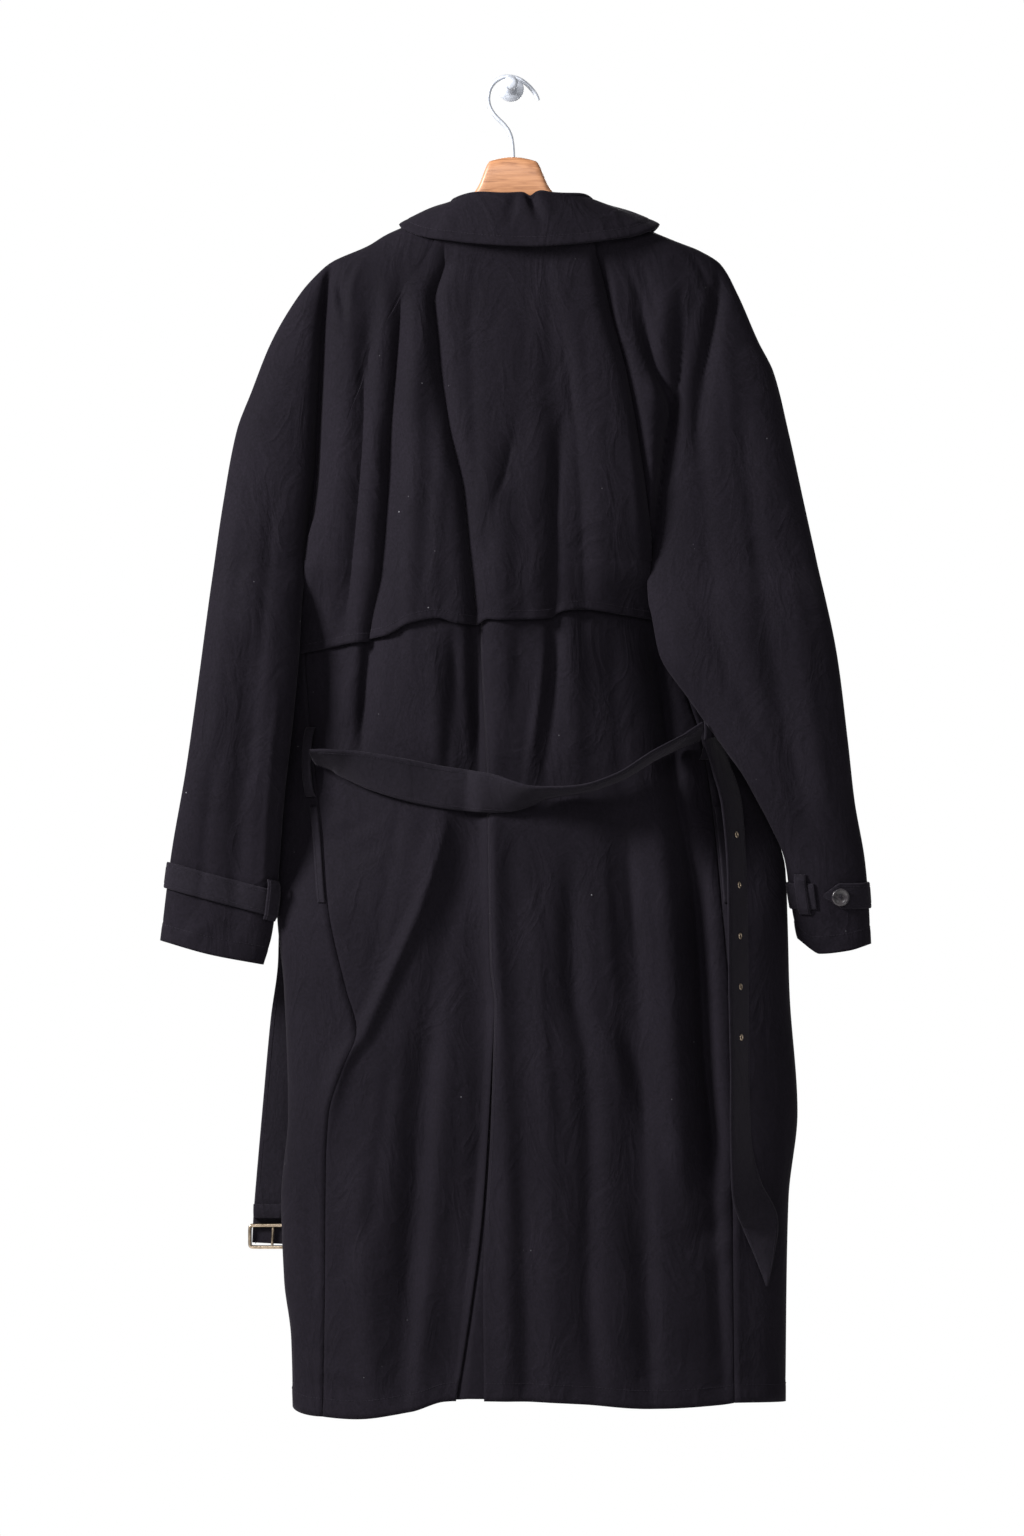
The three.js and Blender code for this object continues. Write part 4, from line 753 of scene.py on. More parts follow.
def row_down(t, share, bottom):
    upper = mix(NECK_DOWN, UNDERARM_DOWN, np.power(np.clip(t / share, 0, 1), ROW_POWER))
    lower = mix(UNDERARM_DOWN, bottom, (t - share) / (1 - share))
    return np.where(t <= share, upper, lower)


# Shares of each piece's rows that lie above the underarm, and the length of cloth below it
BODY_SHARE = 9 / 22
SLEEVE_SHARE = 9 / 20
BODY_FALL = 840
SLEEVE_FALL = 390


def vent_edge(side, down):
    curve = vent_left if side == "left" else vent_right
    return np.where(down < VENT_DOWN, centre_seam(down), curve(down))


def seam_turn(seam, down, above):
    return np.where(down <= UNDERARM_DOWN, above, turn_at("body", seam(down), down))


def back_turns(side, down):
    if side == "left":
        return seam_turn(side_left, down, 0), turn_at("body", vent_edge("left", down), down)
    return turn_at("body", vent_edge("right", down), down), seam_turn(side_right, down, 1)


def back_points(side, s, down):
    first, last = back_turns(side, down)
    return skin("body", mix(first, last, s), down)


def grid(rows, columns):
    t, s = np.meshgrid(np.linspace(0, 1, rows + 1), np.linspace(0, 1, columns + 1), indexing="ij")
    return s, t


def seam_dip(s, size, width=0.012):
    # The cloth sinks a little where a seam is sewn
    return -size * (np.exp(-(s / width) ** 2) + np.exp(-((1 - s) / width) ** 2))


def hem_relief(down, bottom, depth, across, size=0.5):
    # A doubled band above an edge, drawn in along its stitches, with small puckers
    above = bottom - down
    band = size * step(depth + 2 - above, 0, 4)
    stitch = -0.8 * size * np.exp(-((above - depth) / 2.0) ** 2)
    pull = np.sin(across / 2.9 + 2.0 * np.sin(across / 17)) * 0.5 + np.sin(across / 6.1 + 1.0) * 0.5
    pucker = size * 0.9 * pull * np.exp(-((above - depth) / 9.0) ** 2)
    return band + stitch + pucker


def back_panel(side):
    s, t = grid(260, 90)
    base = back_points(side, s, np.full_like(s, BODY_LOW))
    bottom = hem(base[..., 0])
    down = row_down(t, BODY_SHARE, bottom)
    points = back_points(side, s, down)
    lift = hem_relief(down, bottom, HEM_DEPTH, points[..., 0], 0.45) + seam_dip(s, 0.9)
    return settle(shell(f"back_{side}_cloth", points, CLOTH_MATERIAL, lift), f"back_{side}")


FLAP_TOP = 226
FLAP_GAP = 3.6
FLAP_THICK = 1.7


def flap_points(s, t):
    share = (1 - np.cos(np.pi * s)) / 2
    low = np.full_like(s, FLAP_LOW)
    bottom = flap_hem(mix(flap_left(low), flap_right(low), share))
    down = mix(FLAP_TOP, bottom, t)
    first = mix(raglan_left(down) + 0.5, flap_left(np.maximum(down, UNDERARM_DOWN)), step(down, 530, 580))
    second = mix(raglan_right(down) - 0.5, flap_right(np.maximum(down, UNDERARM_DOWN)), step(down, 500, 575))
    across = mix(first, second, share)
    return skin("body", turn_at("body", across, down), down), bottom, down


def storm_flap():
    s, t = grid(150, 180)
    points, bottom, down = flap_points(s, t)
    puff = 1.0 * np.sin(points[..., 0] / 31 + 1) * step(down, 420, 620)
    lift = FLAP_GAP + WALL - 0.6 + puff + hem_relief(down, bottom, FLAP_DEPTH, points[..., 0], 0.5)
    return settle(shell("storm_flap_cloth", points, CLOTH_MATERIAL, lift, FLAP_THICK), "storm_flap")


def front_points(side, s, down):
    if side == "left":
        first, last = seam_turn(side_left, down, 0), -turn_at("body", front_left_edge(down), down)
    else:
        first, last = seam_turn(side_right, down, 1), 2 - turn_at("body", front_right_edge(down), down)
    wall_side = (down <= UNDERARM_DOWN) & (s < 1e-6)
    return skin("body", mix(first, last, s), down, wall_side)


FRONT_LOW = 1404
# How far the right front sinks where it passes beneath the left one
FRONT_TUCK = 5.2


def front_panel(side):
    s, t = grid(200, 60)
    start = front_points(side, np.zeros_like(s), np.full_like(s, BODY_LOW))[..., 0]
    bottom = mix(hem(start), FRONT_LOW, step(s, 0, 0.35))
    down = row_down(t, BODY_SHARE, bottom)
    points = front_points(side, s, down)
    lift = hem_relief(down, bottom, HEM_DEPTH, s * 400, 0.45)
    if side == "right":
        edge = front_left_edge(down)
        lift = lift - np.where(s > 0.2, FRONT_TUCK * (1 - step(points[..., 0], edge + 10, edge + 36)), 0)
    else:
        lift = lift - 0.6 * np.exp(-((1 - s) / 0.02) ** 2)
    piece = shell(f"front_{side}_cloth", points, CLOTH_MATERIAL, lift, flip=side == "left")
    return settle(piece, f"front_{side}")


UNDERLAP_TOP = VENT_DOWN + 40
UNDERLAP_LOW = 1398
UNDERLAP_COVER = 34
UNDERLAP_SUNK = 4.6


def vent_underlap():
    s, t = grid(120, 20)
    down = mix(UNDERLAP_TOP, UNDERLAP_LOW, t)
    across = mix(underlap_edge(down), vent_right(down) + UNDERLAP_COVER, s)
    points = skin("body", turn_at("body", across, down), down)
    return settle(shell("vent_underlap_cloth", points, CLOTH_MATERIAL, -UNDERLAP_SUNK), "vent_underlap")


def sleeve_points(side, turn, t):
    cuff = cuff_left if side == "left" else cuff_right
    first, second = edges_of(side, np.full_like(turn, SLEEVE_LOW))
    across = mix(first, second, (1 - np.cos(np.pi * np.abs(turn))) / 2)
    bottom = cuff(across)
    down = row_down(t, SLEEVE_SHARE, bottom)
    return skin(side, turn, down), bottom, down


def sleeve_panel(side, room):
    s, t = grid(220, 64)
    turn = s if room else -s
    points, bottom, down = sleeve_points(side, turn, t)
    lift = hem_relief(down, bottom, CUFF_DEPTH, points[..., 0], 0.45) + seam_dip(s, 0.6)
    name = "back" if room else "front"
    piece = shell(f"sleeve_{side}_{name}_cloth", points, CLOTH_MATERIAL, lift, flip=(side == "right") == room)
    return settle(piece, f"sleeve_{side}_{name}")


STRAP_WIDTH = 26
STRAP_THICK = 1.5
STRAP_STITCH = 0.14
STRAP_GAP = {"left": 1.4, "right": 0.6}
STRAP_TOP = {
    "left": smooth([[160, 862], [186, 869], [260, 886]]),
    "right": smooth([[790, 882], [846, 883], [872, 881]]),
}
# Where each strap begins and ends, in half turns round the sleeve
STRAP_ENDS = {"left": (-0.62, 1.3), "right": (-1.38, 0.55)}


def strap_points(side, turn, drop):
    wrapped = np.where(turn < -1, turn + 2, turn)
    part = np.where(wrapped > 1, 2 - wrapped, np.abs(wrapped))
    first, second = edges_of(side, np.full_like(turn, STRAP_LOW))
    across = mix(first, second, (1 - np.cos(np.pi * part)) / 2)
    return skin(side, wrapped, STRAP_TOP[side](across) + drop)


def rounded(t, edge=0.09, size=0.7):
    # Edges turned under: the middle stands a little higher than both borders
    return -size * (1 - step(np.minimum(t, 1 - t), 0, edge))


def cuff_strap(side):
    s, t = grid(14, 260)
    first, last = STRAP_ENDS[side]
    end = 1 - s if side == "right" else s
    narrow = mix(0.12, 1, np.clip(end / 0.07, 0, 1))
    wave = 1.2 * np.sin(9 * s + 1) * step(end, 0.02, 0.2)
    drop = STRAP_WIDTH * (0.5 + (t - 0.5) * narrow) + wave
    points = strap_points(side, mix(first, last, s), drop)
    groove = -0.45 * np.exp(-((np.minimum(t, 1 - t) - STRAP_STITCH) / 0.035) ** 2)
    lift = STRAP_GAP[side] + WALL + rounded(t) + groove
    piece = shell(f"cuff_strap_{side}_cloth", points, BELT_MATERIAL, lift, STRAP_THICK, flip=side == "right")
    return settle(piece, f"cuff_strap_{side}")


def strap_loop(side, centre, half):
    s, t = grid(60, 16)
    points = strap_points(side, mix(centre - half, centre + half, s), mix(-8, STRAP_WIDTH + 6, t))
    pressed = 2.2 * (1 - step(np.minimum(t, 1 - t), 0, 0.16))
    lift = STRAP_GAP[side] + WALL + 2.5 + rounded(s, 0.2, 0.7) - pressed
    piece = shell(f"cuff_loop_{side}_cloth", points, BELT_MATERIAL, lift, STRAP_THICK, flip=side == "right")
    return settle(piece, f"cuff_loop_{side}")


# Collar: rings round the neck, each centre, half width, depth toward the room and toward the wall
NECK_RING = (523.5, 93, 42, 38)
FOLD_RING = (523, 66, 37, 38)
FALL_RING = (529.5, 131, 51, 47)
TURN = 3
COLLAR_THICK = 1.8
FOOT_RISE = 4.4
COLLAR_START = -80
COLLAR_END = 260
STAND_SHARE = 0.28
TURN_SHARE = 0.56
PUCKER_ANGLE = 84
COLLAR_STITCH = 0.84


def ring(shape, angle, grow, down):
    centre, half, room, wall = shape
    sine, cosine = np.sin(np.radians(angle)), np.cos(np.radians(angle))
    depth = np.where(sine > 0, room, wall) + grow
    y = MIDDLE_Y - np.sign(sine) * depth * np.abs(sine) ** 0.72
    return np.stack([centre + (half + grow) * cosine, y, down], axis=-1)


def collar_points(s, t):
    angle = mix(COLLAR_START, COLLAR_END, s)
    dip = 4.2 * np.exp(-((angle - PUCKER_ANGLE) / 4) ** 2)
    rise = 1.2 * np.exp(-((angle - 74) / 5) ** 2)
    crest = fold_down(angle) + dip - rise + 0.7 * np.sin(np.radians(angle) * 7 + 1)
    foot = ring(NECK_RING, angle, -1, np.full_like(angle, NECK_DOWN - FOOT_RISE))
    stand = ring(FOLD_RING, angle, 0, crest + TURN)
    bend = np.pi * np.clip((t - STAND_SHARE) / (TURN_SHARE - STAND_SHARE), 0, 1)
    turned = ring(FOLD_RING, angle, TURN * (1 - np.cos(bend)), crest + TURN * (1 - np.sin(bend)))
    fall = ring(FOLD_RING, angle, 2 * TURN, crest + TURN)
    low = ring(FALL_RING, angle, 0, fall_down(angle))
    part = np.clip((t - TURN_SHARE) / (1 - TURN_SHARE), 0, 1)[..., None]
    lower = mix(fall, low, part)
    lower[..., 2] -= 3 * np.sin(np.pi * part[..., 0])
    t3 = t[..., None]
    upper = mix(foot, stand, np.clip(t3 / STAND_SHARE, 0, 1))
    return np.where(t3 <= STAND_SHARE, upper, np.where(t3 < TURN_SHARE, turned, lower))


def collar():
    s, t = grid(70, 220)
    points = collar_points(s, t)
    angle = mix(COLLAR_START, COLLAR_END, s)
    part = np.clip((t - TURN_SHARE) / (1 - TURN_SHARE), 0, 1)
    pucker = -4.6 * np.exp(-((angle - PUCKER_ANGLE + 3 * part) / 3.2) ** 2) * np.exp(-(part / 0.45) ** 2)
    side_crease = -2.6 * np.exp(-((angle - 97 - 5 * part) / 4) ** 2) * np.exp(-((part - 0.25) / 0.3) ** 2)
    swell = 1.0 * np.exp(-((angle - 75) / 6) ** 2) * np.exp(-((part - 0.2) / 0.4) ** 2)
    waves = 0.45 * np.sin(np.radians(angle) * 13 + 3 * part) * step(part, 0.1, 0.6)
    groove = -0.5 * np.exp(-((part - COLLAR_STITCH) / 0.025) ** 2)
    edge = -0.7 * step(part, 0.965, 1)
    drawn = 0.25 * np.sin(angle * 1.9) * np.exp(-((part - COLLAR_STITCH) / 0.1) ** 2)
    relief = pucker + side_crease + swell + waves + groove + edge + drawn
    lift = WALL / 2 + np.where(t > 0.5, relief, 0)
    return settle(shell("collar_cloth", points, CLOTH_MATERIAL, lift, COLLAR_THICK, flip=True), "collar")


# Belt: share of its half width at which it is stitched, and the stitched lines on its lengths
BELT_STITCH = 0.82
STITCHED = []


def belt_table(rows, count):
    table = np.array(rows, float)
    key = np.linspace(table[0, 0], table[-1, 0], count + 1)
    return [smooth(table[:, [0, column]].tolist())(key) for column in range(1, 6)]


def room_y(across, down):
    return skin("body", turn_at("body", across, down), down)[..., 1]


def belt_centres(rows, count, hung):
    across, down, tilt, share, clear = belt_table(rows, count)
    if hung:
        y = clear.copy()
    else:
        nearest = np.min([room_y(across + off, down) for off in (-12, 0, 12)], axis=0)
        y = nearest - BELT_WIDTH / 2 * np.abs(np.sin(np.radians(tilt))) - BELT_THICK / 2 - clear
        kernel = np.hanning(9)
        y = np.convolve(np.pad(y, 4, mode="edge"), kernel / kernel.sum(), mode="valid")
    return np.stack([across, y, down], axis=-1), tilt, share


def ribbon(name, rows, node_name, hung=False, count=260, curl=1.6):
    centres, tilt, share = belt_centres(rows, count, hung)
    space = metres(centres)
    along = np.gradient(space, axis=0)
    along /= np.linalg.norm(along, axis=1, keepdims=True)
    flat = np.stack([along[:, 2], np.zeros(len(along)), -along[:, 0]], axis=-1)
    flat /= np.linalg.norm(flat, axis=1, keepdims=True)
    out = np.cross(along, flat)
    angle = np.radians(tilt)[:, None]
    wide = flat * np.cos(angle) + out * np.sin(angle)
    high = np.cross(wide, along)
    high /= np.linalg.norm(high, axis=1, keepdims=True)
    profile = []
    steps_across = 24
    for side in (1, -1):
        for i in range(steps_across + 1):
            w = (2 * i / steps_across - 1) * side
            rim = 1 - 0.75 * max(0, abs(w) - 0.93) / 0.07
            groove = 0.3 * math.exp(-((abs(w) - BELT_STITCH) / 0.03) ** 2)
            profile.append((w, side * (BELT_THICK / 2 * rim - groove)))
    ends = len(profile)
    length = np.concatenate([[0], np.cumsum(np.linalg.norm(np.diff(space, axis=0), axis=1))])
    vertices, uv = [], []
    wave = 0.6 * np.sin(length / 0.021 + 2 * np.sin(length / 0.07)) + 0.5 * np.sin(length / 0.05)
    for i in range(len(space)):
        for w, h in profile:
            bend = curl * (1 - w * w) + 0.35 * wave[i] * w
            aside = wide[i] * (w * BELT_WIDTH / 2 * share[i] * MM)
            vertices.append(space[i] + aside + high[i] * ((h + bend - curl * 0.5) * MM))
            uv.append((w * BELT_WIDTH / 2 * MM, -length[i]))
    faces = []
    for i in range(len(space) - 1):
        for k in range(ends):
            a = i * ends + k
            b = i * ends + (k + 1) % ends
            faces.append((a, a + ends, b + ends, b))
    faces.append(tuple(range(ends)))
    last = (len(space) - 1) * ends
    faces.append(tuple(last + k for k in range(ends))[::-1])
    piece = mesh_object(name, vertices, faces, BELT_MATERIAL, uv)
    for side in (-1, 1):
        for face in (-1, 1):
            aside = wide * (side * BELT_STITCH * BELT_WIDTH / 2 * share)[:, None]
            proud = high * (face * BELT_THICK / 2 + curl * 0.35 - curl * 0.5)
            STITCHED.append(space + (aside + proud) * MM)
    run = float(length[-1])
    declare_sheet(BELT_WIDTH * MM, run)
    return settle(piece, node_name)


# Each row: order, across, down, tilt in degrees, share of the width, and the gap to the cloth.
# The buckle end hangs free, so its last value is its Y.
BELT_BACK = [
    [0, 313, 758, 72, 1, 2], [1, 330, 761, 62, 1, 2.5], [2, 376, 773, 28, 1, 3], [3, 441, 787, 6, 1, 3],
    [4, 487, 793, 22, 1, 3], [5, 518, 796, 48, 1, 3], [6, 548, 793, 74, 1, 3], [7, 583, 789, 80, 1, 3],
    [8, 617, 778, 80, 1, 3], [9, 656, 755, 78, 1, 3], [10, 690, 738, 74, 1, 3], [11, 701, 732, 70, 1, 3],
]
BELT_TIP = [
    [0, 712, 738, -66, 1, 1.4], [1, 722, 768, -62, 1, 2], [2, 732, 805, -60, 1, 3], [3, 737, 880, -61, 1, 3],
    [4, 738, 976, -62, 1, 3], [5, 739, 1053, -62, 1, 3], [6, 740, 1130, -60, 1, 3], [7, 747, 1190, -40, 1, 3],
    [8, 760, 1222, -14, 0.9, 4], [9, 764, 1250, -6, 0.55, 5], [10, 766, 1272, 0, 0.24, 5],
    [11, 767, 1285, 0, 0.06, 5],
]
BELT_BUCKLE = [
    [0, 296, 780, 0, 1, -27], [1, 298, 860, 0, 1, -27], [2, 297, 957, 0, 1, -30], [3, 289, 1026, 0, 1, -31],
    [4, 281, 1114, 0, 1, -31], [5, 273, 1206, 0, 1, -30],
    [6, 271.5, 1227, 0, 1, -26.5], [7, 270.5, 1248, 0, 1, -26.5],
]


# Side loops stand off the coat by the belt's thickness and some room for it
LOOP_WIDTH = 9
LOOP_THICK = 1.8
LOOP_FOOT = 3.5
LOOP_STAND = BELT_THICK + 9


def side_loop(name, across, top, low):
    s, t = grid(60, 12)
    down = mix(top, low, t)
    spot = across + mix(-LOOP_WIDTH / 2, LOOP_WIDTH / 2, s)
    points = skin("body", turn_at("body", spot, down), down)
    arch = np.power(np.clip(np.sin(np.pi * t), 0, 1), 0.6)
    lift = LOOP_FOOT + LOOP_STAND * arch + rounded(s, 0.2, 0.5)
    return settle(shell(name + "_cloth", points, BELT_MATERIAL, lift, LOOP_THICK), name)


WELT_TOP = 807
WELT_LOW = 903
WELT_THICK = 1.3
WELT_LIFT = {"left": 2.8, "right": 3.0}


def pocket_welt(side):
    s, t = grid(120, 16)
    down = mix(WELT_TOP, WELT_LOW, t)
    if side == "left":
        near = side_left(down) - mix(9, 1.5, s)
    else:
        near = side_right(down) + mix(1.5, 9, s)
    points = skin("body", turn_at("body", near, down), down)
    lift = WELT_LIFT[side] + rounded(s, 0.15, 0.6) + rounded(t, 0.04, 0.8)
    piece = shell(f"pocket_welt_{side}_cloth", points, BELT_MATERIAL, lift, WELT_THICK)
    return settle(piece, f"pocket_welt_{side}")


def rod(name, path, radius, material, node_name, closed=False, resolution=10):
    curve = bpy.data.curves.new(name, "CURVE")
    curve.dimensions = "3D"
    spline = curve.splines.new("NURBS")
    spline.points.add(len(path) - 1)
    for point, place in zip(spline.points, path):
        point.co = (*place, 1)
    spline.order_u = 3
    spline.use_endpoint_u = not closed
    spline.use_cyclic_u = closed
    spline.resolution_u = resolution
    curve.bevel_depth = radius * MM
    curve.bevel_resolution = 5
    curve.use_fill_caps = True
    made = bpy.data.objects.new(name, curve)
    bpy.context.scene.collection.objects.link(made)
    bpy.context.view_layer.update()
    mesh = bpy.data.meshes.new_from_object(made.evaluated_get(bpy.context.evaluated_depsgraph_get()))
    bpy.data.objects.remove(made)
    mesh.name = name
    mesh.materials.clear()
    mesh.materials.append(material)
    mesh.polygons.foreach_set("use_smooth", [True] * len(mesh.polygons))
    obj = bpy.data.objects.new(name, mesh)
    bpy.context.scene.collection.objects.link(obj)
    return settle(obj, node_name)


def place(across, down, y):
    return ((across - HOOK_ACROSS) * MM, y * MM, (HOOK_DOWN - down) * MM)


BUCKLE_ACROSS = 276
BUCKLE_Y = -31
FRAME_RADIUS = 1.9
PIN_RADIUS = 1.4


def buckle():
    half, corner, top, low = 28.5, 3.2, 1229.5, 1251.5
    halfway = (top + low) / 2
    right = [(half - corner, top), (half - 0.6, top + 0.6), (half, top + corner), (half, halfway),
             (half, low - corner), (half - 0.6, low - 0.6), (half - corner, low)]
    left = [(-off, down) for off, down in right[::-1]]
    corners = [left[-1], (0, top), *right, (0, low), *left[:-1]]
    path = [place(BUCKLE_ACROSS + off, down, BUCKLE_Y) for off, down in corners]
    rod("buckle_frame_metal", path, FRAME_RADIUS, PALE_METAL, "buckle_frame", closed=True)
    pin = [place(across, down, BUCKLE_Y) for across, down in ((271, 1231.6), (270.6, 1240), (270, 1249.4))]
    rod("buckle_pin_metal", pin, PIN_RADIUS, PALE_METAL, "buckle_pin")


def lathe(name, outline, centre, axis, material, node_name, segments=40):
    axis = Vector(axis).normalized()
    side = axis.orthogonal().normalized()
    other = axis.cross(side)
    vertices, faces = [], []
    for radius, height in outline:
        for k in range(segments):
            angle = 2 * math.pi * k / segments
            spoke = side * math.cos(angle) + other * math.sin(angle)
            vertices.append(Vector(centre) + axis * height * MM + spoke * radius * MM)
    for j in range(len(outline) - 1):
        for k in range(segments):
            n = (k + 1) % segments
            faces.append((j * segments + k, j * segments + n, (j + 1) * segments + n, (j + 1) * segments + k))
    return settle(mesh_object(name, vertices, faces, material), node_name)


# Buttons: how far a hole lies from the middle, how high the thread stands, and its radius
BUTTON_HOLE = 1.5
THREAD_CROWN = 0.9
THREAD_RADIUS = 0.45


def flat_place(node_name):
    # A thin round node's points, their centre and the direction across its face
    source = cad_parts[node_name]
    points = np.array([source.matrix_world @ v.co for v in source.data.vertices])
    centre = points.mean(axis=0)
    _, _, axes = np.linalg.svd(points - centre)
    return points, centre, axes[2]


def button(node_name):
    # Rim, dished face and two crossed threads
    points, centre, axis = flat_place(node_name)
    away = np.array([0, -1.0, 0]) if node_name == "cuff_button_right" else np.array([0, 1.0, 0])
    if np.dot(axis, away) < 0:
        axis = -axis
    flat = points - centre
    height = flat @ axis
    radius = np.linalg.norm(flat - np.outer(height, axis), axis=1).max() / MM
    base = centre + axis * height.min()
    thick = (height.max() - height.min()) / MM
    outline = [(0.01, 0), (radius - 1, 0), (radius - 0.2, 0.6), (radius, thick * 0.5),
               (radius - 0.3, thick * 0.85), (radius - 1.3, thick), (radius - 2.2, thick * 0.92),
               (radius - 3.0, thick * 0.7), (radius * 0.3, thick * 0.62), (0.01, thick * 0.62)]
    lathe(node_name + "_gloss", outline, base, axis, GLOSS, node_name)
    side = Vector(axis).orthogonal().normalized()
    other = Vector(axis).cross(side)
    middle_place = Vector(base) + Vector(axis) * (thick * 0.6 + 0.1) * MM
    for number, slant in ((0, 1), (2, -1)):
        reach = (side + other * slant) * BUTTON_HOLE * MM
        crown = middle_place + Vector(axis) * THREAD_CROWN * MM
        path = [tuple(p) for p in (middle_place + reach, crown, middle_place - reach)]
        name = f"{node_name}_thread_{number}"
        rod(name, path, THREAD_RADIUS, THREAD_MATERIAL, node_name, resolution=4)


HANGER_LEFT = 336
HANGER_RIGHT = 708
HANGER_STEPS = 160
HANGER_SQUARE = 0.72


def hanger_wood():
    across = np.linspace(HANGER_LEFT, HANGER_RIGHT, HANGER_STEPS + 1)
    share = 1 - np.abs(2 * np.linspace(0, 1, HANGER_STEPS + 1) - 1)
    half_thick = mix(11, 13, share) / 2
    vertices, faces = [], []
    sides = 40
    for i, a in enumerate(across):
        pull = 1 - (1 - step(min(i, HANGER_STEPS - i), 0, 5)) * 0.45
        for k in range(sides):
            angle = 2 * math.pi * k / sides
            sine, cosine = math.sin(angle), math.cos(angle)
            up = math.copysign(abs(sine) ** HANGER_SQUARE, sine) * float(hanger_height(a)) / 2 * pull
            y = MIDDLE_Y + half_thick[i] * pull * math.copysign(abs(cosine) ** HANGER_SQUARE, cosine)
            vertices.append(place(a, float(hanger_line(a)) - up, y))
    for i in range(HANGER_STEPS):
        for k in range(sides):
            n = (k + 1) % sides
            faces.append((i * sides + k, i * sides + n, (i + 1) * sides + n, (i + 1) * sides + k))
    faces.append(tuple(range(sides))[::-1])
    faces.append(tuple(HANGER_STEPS * sides + k for k in range(sides)))
    return settle(mesh_object("hanger_wood_arms", vertices, faces, WOOD), "hanger_wood")


# The hanger's hook from its tip to its shank, each row (across, down)
HOOK_PATH = [
    (538, 97), (537, 93), (533, 87), (527, 80.5), (519, 75.2), (511, 73.0), (503, 73.3), (495, 77.5),
    (489.5, 85), (487.5, 95), (489.5, 105), (496, 114), (505, 122), (510.5, 131), (512.6, 142), (513, 154),
]
HOOK_RADIUS = 2.2
# The wall hook's plate, peg and knob, each row (radius, distance from the wall)
PEG_OUTLINE = [
    (0.01, 0), (12.6, 0), (13, 0.6), (13, 3), (12.4, 3.8), (7.2, 4), (5.6, 5), (4.6, 8), (4.6, 68),
    (5.6, 69.2), (7, 70.5), (7, 73), (6.2, 74.8), (4, 76), (0.01, 76),
]


def hanger_hook():
    path = [place(across, down, MIDDLE_Y) for across, down in HOOK_PATH]
    rod("hanger_hook_wire", path, HOOK_RADIUS, STEEL, "hanger_hook", resolution=14)


def wall_hook():
    lathe("wall_hook_steel", PEG_OUTLINE, (0, 0, 0), (0, -1, 0), STEEL, "wall_hook", 56)


# Section of an eyelet's ring, each row (radius, height)
EYELET_OUTLINE = [
    (1.7, 0.1), (3.3, 0), (3.45, 0.35), (3.0, 0.85), (2.4, 1.0), (1.9, 0.8), (1.6, 0.3), (1.7, 0.1),
]


def eyelets():
    for number in range(1, 6):
        name = f"eyelet_{number}"
        _, centre, axis = flat_place(name)
        axis = axis if axis[1] < 0 else -axis
        base = centre - axis * 0.5 * MM
        lathe(name + "_metal", EYELET_OUTLINE, base, axis, PALE_METAL, name, 28)


# The keeper's rings from its top outside to its top inside, each row (down, how far it is drawn in)
KEEPER_RINGS = [
    (1208, 0.3), (1208.6, 0), (1214.8, -0.15), (1221.4, 0), (1222, 0.3), (1222, 1.5), (1215, 1.55),
    (1208, 1.5), (1208, 0.3),
]
KEEPER_SIDES = 48


def keeper():
    vertices, faces = [], []
    half_wide, half_deep = (BELT_WIDTH + 8) / 2, 4.0
    profile = []
    for k in range(KEEPER_SIDES):
        angle = 2 * math.pi * k / KEEPER_SIDES
        sine, cosine = math.sin(angle), math.cos(angle)
        profile.append((math.copysign(abs(cosine) ** 0.25, cosine), math.copysign(abs(sine) ** 0.25, sine)))
    for down, inset in KEEPER_RINGS:
        for u, v in profile:
            across = BUCKLE_ACROSS + u * (half_wide - inset)
            vertices.append(place(across, down, BUCKLE_Y + v * (half_deep - inset)))
    for j in range(len(KEEPER_RINGS) - 1):
        this, following = j * KEEPER_SIDES, (j + 1) * KEEPER_SIDES
        for k in range(KEEPER_SIDES):
            n = (k + 1) % KEEPER_SIDES
            faces.append((this + k, following + k, following + n, this + n))
    return settle(mesh_object("belt_keeper_cloth", vertices, faces, BELT_MATERIAL), "belt_keeper")


def line_on(name, s, t):
    # Points on a finished piece's outside at shares s across and t down, kept just proud of it
    outside, normal = GRIDS[name]
    rows, columns = outside.shape[:2]
    s, t = np.broadcast_arrays(np.asarray(s, float), np.asarray(t, float))
    i = np.clip(t * (rows - 1), 0, rows - 1.001)
    j = np.clip(s * (columns - 1), 0, columns - 1.001)
    top, left = i.astype(int), j.astype(int)
    u, v = (j - left)[:, None], (i - top)[:, None]

    def blend(values):
        upper = values[top, left] * (1 - u) + values[top, left + 1] * u
        lower = values[top + 1, left] * (1 - u) + values[top + 1, left + 1] * u
        return upper * (1 - v) + lower * v

    return blend(outside) + blend(normal) * 0.15 * MM


